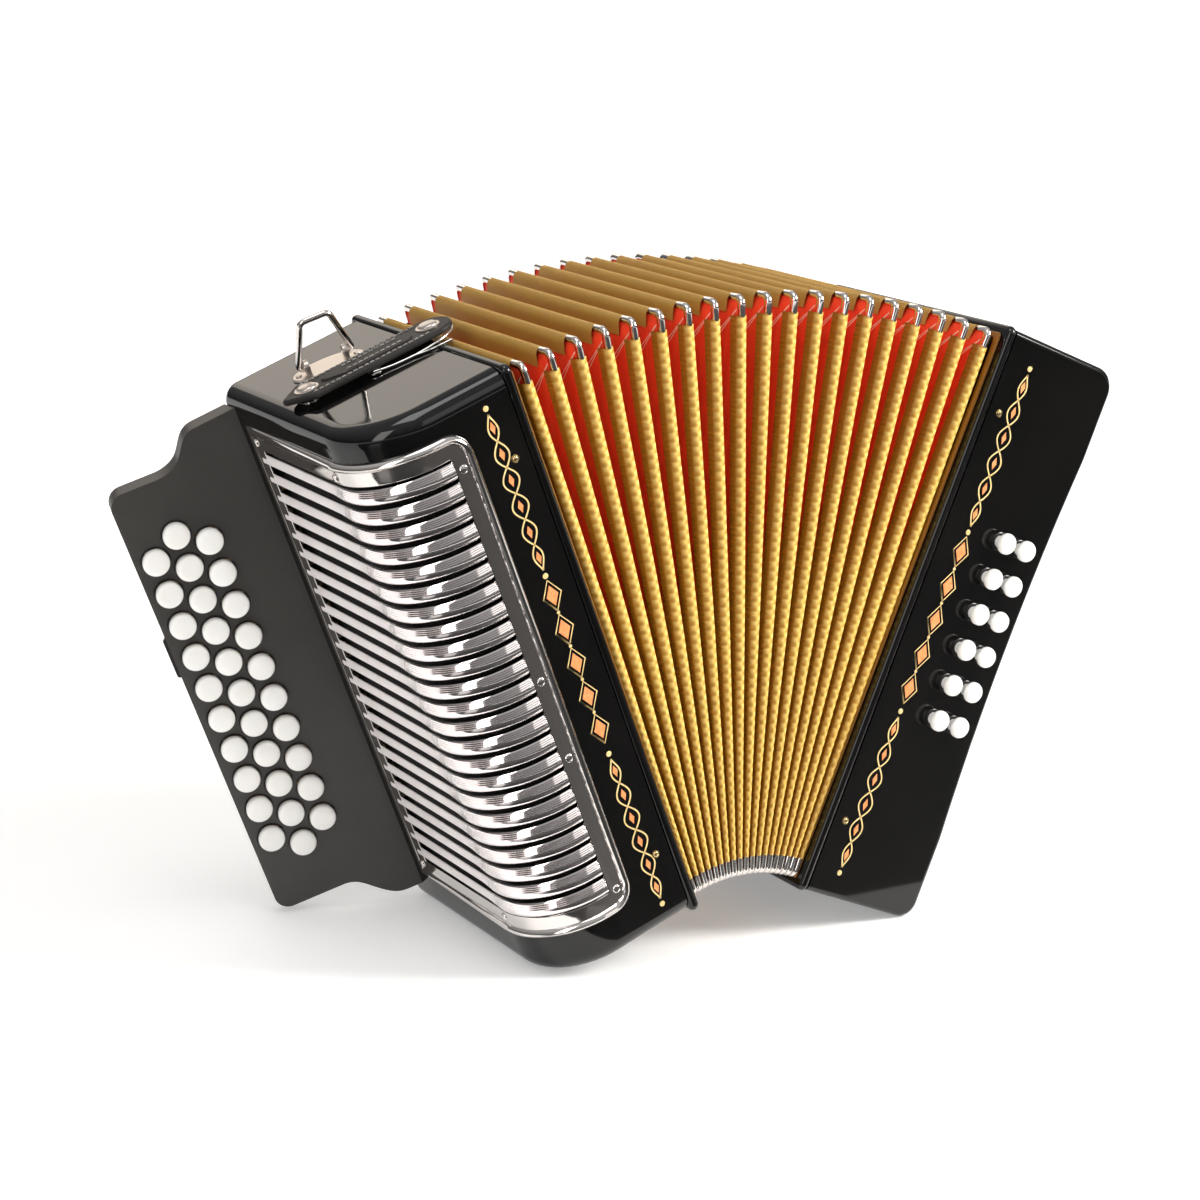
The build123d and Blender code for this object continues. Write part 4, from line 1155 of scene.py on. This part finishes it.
def arch(span, bulge, steps=40):
    """(along, out, normal) triples of a bowed band's outer face."""
    radius = (span * span / 4 + bulge * bulge) / (2 * bulge)
    half = math.asin(span / 2 / radius)
    for step in range(steps + 1):
        turn = -half + 2 * half * step / steps
        out = bulge - radius * (1 - math.cos(turn))
        yield radius * math.sin(turn), out, (math.sin(turn), math.cos(turn))


def band_section(width):
    """(across, in) pairs of a strap's section, with round edges."""
    half = width / 2
    corners = [(-half, 0, 1.2), (-half / 2, 0, 0), (0, 0, 0), (half / 2, 0, 0), (half, 0, 1.2)]
    corners += [(half, BAND_THICKNESS, 1.2), (-half, BAND_THICKNESS, 1.2)]
    return rounded(corners, steps=4)


def hand_strap_stitches(seat, span, middle):
    """Stitches along both edges of the hand strap."""
    stitches = []
    marks = list(arch(span - 16, HAND_STRAP_BULGE - 1, HAND_STITCHES))
    for edge in (-HAND_STITCH_EDGE, HAND_STITCH_EDGE):
        for first, second in zip(marks[2:-3], marks[3:-2]):
            ends = []
            for share in (0.1, 0.7):
                along = first[0] + (second[0] - first[0]) * share
                out = first[1] + (second[1] - first[1]) * share + 1.05
                ends.append((seat + out, HAND_STRAP_Y + edge, middle + along))
            stitches.append(tube(ends, 0.35, 8))
    return join(stitches)


def end_plate(height, out):
    """A metal plate with three rivets over one end of the hand strap."""
    half_y, half_w = END_PLATE_SIZE[0] / 2, END_PLATE_SIZE[1] / 2
    centre = height + out * 5.0

    def outline(inset, below):
        left, right = HAND_STRAP_Y - half_y + inset, HAND_STRAP_Y + half_y - inset
        low, high = centre - half_w + inset, centre + half_w - inset
        corners = [(left, low, 3), (right, low, 3), (right, high, 3), (left, high, 3)]
        x = BASS_WIDTH + END_PLATE_THICKNESS - below
        return [(x, y, w) for y, w in rounded(corners, steps=6)]

    shapes = [raised_plate(outline, END_PLATE_THICKNESS)]
    for across in (-18.0, 0.0, 18.0):
        seat = (BASS_WIDTH + 1.3, HAND_STRAP_Y + across, height + out * 8.0)
        shapes.append(dome(2.2, 1.2, seat, (1, 0, 0)))
    return join(shapes)


def make_hand_strap():
    low, high = HAND_STRAP_ENDS
    middle, span = (low + high) / 2, high - low
    seat = BASS_WIDTH + 1.6
    rings = []
    for along, out, (nx, ny) in arch(span, HAND_STRAP_BULGE):
        ring = []
        for across, depth in band_section(HAND_STRAP_WIDTH):
            u = max(seat + out - ny * depth, seat)
            ring.append((u, HAND_STRAP_Y + across, middle + along - nx * depth))
        rings.append(ring)
    bass("hand_strap", loft(rings), LEATHER, "black_leather", nodes=["bass_strap"])
    stitches = hand_strap_stitches(seat, span, middle)
    bass("hand_strap_stitches", stitches, THREAD, "black_leather", weighted=False)
    plates = join([end_plate(low, -1), end_plate(high, 1)])
    bass("hand_strap_plates", plates, CHROME, "chrome")


def make_thumb_strap():
    rings = []
    for along, out, (nx, ny) in arch(THUMB_LOOP_SPAN, THUMB_LOOP_BULGE, 32):
        ring = []
        for across, depth in band_section(THUMB_LOOP_WIDTH):
            reach = BOARD_REACH - 17.0 + along - nx * depth
            behind = BOARD_THICKNESS + 0.2 + max(out - ny * depth, 0.0)
            ring.append(board(reach, THUMB_LOOP_W + across, behind))
        rings.append(ring)
    treble("thumb_loop", loft(rings), LEATHER, "black_leather", nodes=["thumb_strap"])
    rivets = []
    outwards = Vector(board(0, 0, 1)) - Vector(board(0, 0, 0))
    for reach in (BOARD_REACH - 35.0, BOARD_REACH - 1.6):
        for w in (THUMB_LOOP_W - 7.0, THUMB_LOOP_W + 7.0):
            rivets.append(dome(2.0, 1.2, board(reach, w, BOARD_THICKNESS + BAND_THICKNESS), outwards))
    treble("thumb_loop_rivets", join(rivets), CHROME, "chrome")


# ---- bellows ----
Half = namedtuple("Half", "label first last near_body far_body node")
HALVES = (
    Half("treble", 0, TREBLE_FOLDS, "treble_side", "bellows_middle", "bellows_treble_half"),
    Half("bass", TREBLE_FOLDS, FOLD_COUNT, "bellows_middle", "bass_side", "bellows_bass_half"),
)


def fold_lean(step):
    """The lean at a number of folds from the treble seam."""
    return TREBLE_LEAN + step * FOLD_ANGLE


def fold_point(step, lateral, y, w):
    """A point of the fan, a sideways distance from the plane at one fold step."""
    lean = fold_lean(step) + math.degrees(lateral / (FAN_RADIUS + w))
    return fan_place(lean, 0, y, w), (lean - TREBLE_LEAN) / FOLD_ANGLE


class Bellows:
    """Points, faces, UVs and fold steps of one bellows piece."""

    def __init__(self):
        self.points, self.steps, self.uvs, self.faces = [], [], [], []

    def strip(self, rows, closed=False, capped=False, fixed_step=None):
        """rows of (step, lateral, y, w, u, v), joined into a surface."""
        start = len(self.points)
        count = len(rows[0])
        for row in rows:
            for step, lateral, y, w, u, v in row:
                point, at = fold_point(step, lateral, y, w)
                self.points.append(point)
                self.steps.append(at if fixed_step is None else fixed_step)
                self.uvs.append((u, v))
        for i in range(len(rows) - 1):
            for j in range(count if closed else count - 1):
                k = (j + 1) % count
                low, high = start + i * count, start + (i + 1) * count
                self.faces.append((low + j, low + k, high + k, high + j))
        if capped:
            self.faces.append(tuple(start + j for j in range(count)))
            self.faces.append(tuple(start + (len(rows) - 1) * count + j for j in range(count)))

    def build(self, name, material, half, node=None):
        mesh = bpy.data.meshes.new(name)
        mesh.from_pydata([(point - ORIGIN) * MM for point in self.points], [], self.faces)
        layer = mesh.uv_layers.new(name="UVMap")
        for loop in mesh.loops:
            layer.data[loop.index].uv = self.uvs[loop.vertex_index]
        finish_mesh(mesh, material, sharp=50)
        piece = add_object(name, mesh)
        start = place(fold_lean(half.first), 0, CASE_DEPTH / 2, CASE_HEIGHT / 2)
        end = place(fold_lean(half.last), 0, CASE_DEPTH / 2, CASE_HEIGHT / 2)
        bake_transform(piece, half.near_body, half.far_body, start=start, end=end)
        count = half.last - half.first
        shares = [min(max((at - half.first) / count, 0.0), 1.0) for at in self.steps]
        mesh.attributes["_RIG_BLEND"].data.foreach_set("value", shares)
        if node:
            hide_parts(node)
        return piece


def cloth_ring(step, depth, bend):
    """One closed ring of the folded cloth, with its distance round the bellows as UV."""
    inset = BELLOWS_INSET + depth
    far_y, far_w = CASE_DEPTH - inset, CASE_HEIGHT - inset
    corners = []
    ends = [(inset, inset), (far_y, inset), (far_y, far_w), (inset, far_w)]
    for index, (y, w) in enumerate(ends):
        next_y, next_w = ends[(index + 1) % 4]
        corners.append((y, w, bend))
        for share in (0.12, 0.3, 0.5, 0.7, 0.88):
            corners.append((y + (next_y - y) * share, w + (next_w - w) * share, 0))
    ring, travel, last = [], 0.0, None
    for point in rounded(corners, steps=4):
        travel += (point - last).length if last else 0.0
        last = point
        ring.append((step, 0.0, point.x, point.y, step * 0.25, travel * 0.012))
    return ring


CLOTH_PROFILE = (
    (0.0, FOLD_DEPTH, 2.0), (0.06, FOLD_DEPTH - 0.9, 2.2), (0.18, 13.6, 3.0), (0.34, 6.4, 4.0),
    (0.46, 1.6, 5.0), (0.5, 0.9, 5.0), (0.54, 1.6, 5.0), (0.66, 6.4, 4.0), (0.82, 13.6, 3.0),
    (0.94, FOLD_DEPTH - 0.9, 2.2),
)


def bellows_cloth(half):
    cloth = Bellows()
    rings = []
    for fold in range(half.first, half.last):
        rings += [cloth_ring(fold + share, depth, bend) for share, depth, bend in CLOTH_PROFILE]
    rings.append(cloth_ring(half.last, FOLD_DEPTH, 2.0))
    cloth.strip(rings, closed=True)
    cloth.build(f"bellows_cloth_{half.label}", CLOTH, half, node=half.node)


def tape_spot(side, along, depth):
    """(y, w) at a distance along one side of a ridge and a depth inwards."""
    return {
        "front": (BELLOWS_INSET + depth, along),
        "back": (CASE_DEPTH - BELLOWS_INSET - depth, along),
        "bottom": (along, BELLOWS_INSET + depth),
        "top": (along, CASE_HEIGHT - BELLOWS_INSET - depth),
    }[side]


def tape_row(ridge, side, along, skirt):
    """One cross-section of a tape: a round crown between two straight skirts."""
    radius = FAN_RADIUS + tape_spot(side, along, 0.0)[1]
    pitch = math.radians(FOLD_ANGLE) * radius
    half = min(TAPE_HALF_WIDTH, TAPE_SHARE * pitch)
    crown = TAPE_CROWN * half / TAPE_HALF_WIDTH
    base = half + min(TAPE_FLARE, 0.45 * pitch - half)
    middle = ((half + base) / 2, (skirt + crown) / 2)
    section = [(-base, skirt), (-middle[0], middle[1])]
    for turn_step in range(TAPE_TURNS + 1):
        turn = -math.pi / 2 + math.pi * turn_step / TAPE_TURNS
        section.append((half * math.sin(turn), crown * (1 - math.cos(turn))))
    section += [middle, (base, skirt)]
    row = []
    for index, (lateral, depth) in enumerate(section):
        across = index / (len(section) - 1)
        row.append((ridge, lateral, *tape_spot(side, along, depth), across, along / BROCADE_PITCH))
    return row


def ridge_tape(tapes, ridge, side):
    """The tape along one side of a ridge: front, back, top or bottom."""
    upright = side in ("front", "back")
    low = BELLOWS_INSET + TAPE_START
    high = (CASE_HEIGHT if upright else CASE_DEPTH) - low
    count, skirt = (26, FACE_SKIRT) if upright else (6, BAND_SKIRT)
    rows = []
    for index in range(count + 1):
        rows.append(tape_row(ridge, side, low + (high - low) * index / count, skirt))
    tapes.strip(rows)


def ridge_corner(metal, ridge, y_end, w_end):
    """A bent metal protector over one corner of a ridge."""
    near = BELLOWS_INSET - 0.35
    y = near if y_end < 0 else CASE_DEPTH - near
    w = near if w_end < 0 else CASE_HEIGHT - near
    path = rounded(
        [(y - y_end * CORNER_LEG, w, 0), (y, w, CORNER_TURN), (y, w - w_end * CORNER_LEG, 0)],
        closed=False,
        steps=9,
    )
    radius = FAN_RADIUS + w
    half = min(CORNER_HALF_WIDTH, 0.46 * math.radians(FOLD_ANGLE) * radius)
    centre = Vector((y - y_end * 12, w - w_end * 12))
    rows = []
    for index, spot in enumerate(path):
        ahead = path[min(index + 1, len(path) - 1)] - path[max(index - 1, 0)]
        inward = ahead.orthogonal().normalized()
        if inward.dot(centre - spot) < 0:
            inward = -inward
        at_end = index in (0, len(path) - 1)
        row = []
        for step in range(7):
            turn = -math.pi / 2 + math.pi * step / 6
            depth = 1.7 * (1 - math.cos(turn)) + (0.25 if at_end else 0.0)
            here = spot + inward * depth
            row.append((ridge, half * math.sin(turn), here.x, here.y, step / 6, index / 4))
        for lateral in (half, -half):
            here = spot + inward * 3.0
            row.append((ridge, lateral, here.x, here.y, 0.0, index / 4))
        rows.append(row)
    metal.strip(rows, closed=True, capped=True, fixed_step=ridge)


def cloth_depth(share):
    """The cloth's depth at a share of a fold from its valley."""
    stops = [stop[:2] for stop in CLOTH_PROFILE] + [(1.0, FOLD_DEPTH)]
    for (low, low_depth), (high, high_depth) in zip(stops, stops[1:]):
        if low <= share <= high:
            return low_depth + (high_depth - low_depth) * (share - low) / (high - low)
    return FOLD_DEPTH


def gusset_edge(edges, ridge, side, y_end, spread):
    """A pale edge of a top corner's gusset, from the ridge down one flank to the valley."""
    rows = []
    for index in range(9):
        t = index / 8
        share = 0.5 + side * (GUSSET_START + (GUSSET_END - GUSSET_START) * t)
        depth = cloth_depth(share)
        inset = BELLOWS_INSET + depth - 0.3
        height = 5.0 + (9.0 + spread) * t + 0.45 * depth
        y = inset if y_end < 0 else CASE_DEPTH - inset
        row = []
        for offset in (-GUSSET_WIDTH / 2, GUSSET_WIDTH / 2):
            w = CASE_HEIGHT - BELLOWS_INSET - height - offset
            row.append((ridge - 0.5 + share, 0.0, y, w, 0.0, 0.0))
        rows.append(row)
    edges.strip(rows)


def make_bellows():
    for half in HALVES:
        bellows_cloth(half)
        brocade_tapes, ribbed_tapes, metal, gussets = Bellows(), Bellows(), Bellows(), Bellows()
        for fold in range(half.first, half.last):
            ridge = fold + 0.5
            for side in ("front", "back"):
                ridge_tape(brocade_tapes, ridge, side)
            for side in ("top", "bottom"):
                ridge_tape(ribbed_tapes, ridge, side)
            for y_end in (-1, 1):
                for w_end in (-1, 1):
                    ridge_corner(metal, ridge, y_end, w_end)
                for side, spread in ((-1, 0.0), (-1, 3.0), (1, 0.0), (1, 3.0)):
                    gusset_edge(gussets, ridge, side, y_end, spread)
        brocade_tapes.build(f"bellows_brocade_{half.label}", BROCADE, half)
        ribbed_tapes.build(f"bellows_ribbed_{half.label}", RIBBED, half)
        metal.build(f"bellows_corners_{half.label}", BRIGHT, half)
        gussets.build(f"bellows_gusset_edges_{half.label}", LEATHER_EDGE, half)


# ---- CAD nodes that show as they are ----
def paint_cad_nodes():
    """Materials for the CAD nodes that no visual piece replaces."""
    finishes = {
        "fingerboard": SATIN,
        "grille_cloth": DUST_CLOTH,
        "treble_soundboard": SPRUCE,
        "treble_reed_blocks": MAPLE,
        "bass_reed_blocks": MAPLE,
    }
    finishes.update({name: MAPLE for name in frame["nodes"] if name.startswith("treble_key")})
    for name, material in finishes.items():
        mesh = frame["nodes"][name].data
        mesh.materials.clear()
        mesh.materials.append(material)


# ---- studio ----
CAMERA_AZIMUTH = math.radians(-30.9)
CAMERA_ELEVATION = math.radians(14.71)
CAMERA_ROLL = math.radians(1.0)
CAMERA_TARGET = Vector((-44.39, 80.0, 138.82))
CAMERA_DISTANCE = 1544.68
CAMERA_LENS = 89.72
SENSOR_WIDTH = 36.0
FLOOR_REACH = 12.0
WALL_REACH = 11.9
WALL_HEIGHT = 9.0


def aimed(location, target):
    """A matrix at a location with its -Z towards a target."""
    turn = (Vector(target) - Vector(location)).to_track_quat("-Z", "Y")
    return Matrix.Translation(location) @ turn.to_matrix().to_4x4()


def make_camera():
    azimuth, elevation = CAMERA_AZIMUTH, CAMERA_ELEVATION
    level = Vector((math.cos(azimuth), math.sin(azimuth), 0))
    away = Vector((math.sin(azimuth), -math.cos(azimuth), 0))
    back = away * math.cos(elevation) + Vector((0, 0, math.sin(elevation)))
    above = back.cross(level)
    right = level * math.cos(CAMERA_ROLL) + above * math.sin(CAMERA_ROLL)
    up = above * math.cos(CAMERA_ROLL) - level * math.sin(CAMERA_ROLL)
    data = bpy.data.cameras.new("camera")
    data.lens = CAMERA_LENS
    data.sensor_width = SENSOR_WIDTH
    data.clip_end = 100
    camera = add_object("camera", data)
    location = (CAMERA_TARGET - ORIGIN + back * CAMERA_DISTANCE) * MM
    turn = Matrix((right, up, back)).transposed().to_4x4()
    camera.matrix_world = Matrix.Translation(location) @ turn
    bpy.context.scene.camera = camera


def softbox(name, location, target, size, power, colour):
    """A rectangular lamp aimed at a target; power in watts, lengths in metres."""
    data = bpy.data.lights.new(name, "AREA")
    data.shape = "RECTANGLE"
    data.color = colour
    data.size, data.size_y = size
    data.energy = power
    lamp = add_object(name, data)
    lamp.matrix_world = aimed(location, target)
    return lamp


def stage_card(name, corners, material):
    """A flat four-cornered card which isn't part of the object."""
    mesh = bpy.data.meshes.new(name)
    mesh.from_pydata(corners, [], [(0, 1, 2, 3)])
    mesh.materials.append(material)
    card = add_object(name, mesh)
    return card


def hide_from(thing, *rays):
    for ray in rays:
        setattr(thing, f"visible_{ray}", False)


def level_corners(low_x, high_x, low_y, high_y, z):
    return [(low_x, low_y, z), (high_x, low_y, z), (high_x, high_y, z), (low_x, high_y, z)]


def square(reach, z):
    return level_corners(-reach, reach, -reach, reach, z)


def make_backdrop(material):
    """Four pale walls that only the camera sees, so that low views have no dark horizon."""
    low, high = square(WALL_REACH, 0), square(WALL_REACH, WALL_HEIGHT)
    for index in range(4):
        after = (index + 1) % 4
        edge = [low[index], low[after], high[after], high[index]]
        wall = stage_card(f"backdrop_{index + 1}", edge, material)
        hide_from(wall, "diffuse", "glossy", "transmission", "shadow")


def make_studio():
    pale = pale_floor()
    stage_card("floor", square(FLOOR_REACH, 0), pale)
    make_backdrop(pale)
    # A card that only reflections see, which keeps the lacquer's front black.
    flag = stage_card("black_flag", level_corners(-2.6, 2.6, -3.0, -0.13, 0.0015), FELT_AND_SHADE)
    hide_from(flag, "camera", "diffuse", "transmission", "shadow")
    middle = (0, 0, 0.15)
    softbox("key_softbox", (1.6, -1.2, 1.3), middle, (0.7, 0.9), 60, (1.0, 0.97, 0.93))
    softbox("back_softbox", (0.5, 1.9, 1.35), middle, (2.2, 1.0), 9.0, (1.0, 0.89, 0.76))
    softbox("top_softbox", (-0.5, -0.4, 2.2), middle, (1.0, 1.0), 12, (1.0, 1.0, 1.0))
    softbox("fill_softbox", (-1.7, -1.0, 0.9), middle, (0.6, 1.3), 8, (1.0, 0.97, 0.95))
    card = softbox("bar_card", (0.7, -1.8, 1.2), middle, (1.7, 0.9), 4.0, (1.0, 0.97, 0.95))
    hide_from(card, "diffuse")
    make_sky()
    bpy.context.scene.view_settings.view_transform = "Standard"


def make_sky():
    """A world that is dark at the horizon and pale overhead."""
    world = bpy.data.worlds.new("studio")
    bpy.context.scene.world = world
    world.use_nodes = True
    tree = world.node_tree
    background = tree.nodes["Background"]
    background.inputs["Strength"].default_value = 0.5
    where = tree.nodes.new("ShaderNodeTexCoord")
    split = tree.nodes.new("ShaderNodeSeparateXYZ")
    ramp = tree.nodes.new("ShaderNodeValToRGB")
    ramp.color_ramp.elements[0].position = 0.0
    ramp.color_ramp.elements[0].color = (0.14, 0.13, 0.125, 1)
    ramp.color_ramp.elements[1].position = 0.7
    ramp.color_ramp.elements[1].color = (1.0, 1.0, 1.0, 1)
    tree.links.new(where.outputs["Generated"], split.inputs[0])
    tree.links.new(split.outputs["Z"], ramp.inputs["Fac"])
    tree.links.new(ramp.outputs["Color"], background.inputs["Color"])


make_cases()
make_inlays()
make_grille()
make_keyboard()
make_buttons()
make_feet()
make_bails()
make_bellows_strap()
make_strap_spring()
make_hand_strap()
make_thumb_strap()
make_bellows()
paint_cad_nodes()
make_camera()
make_studio()
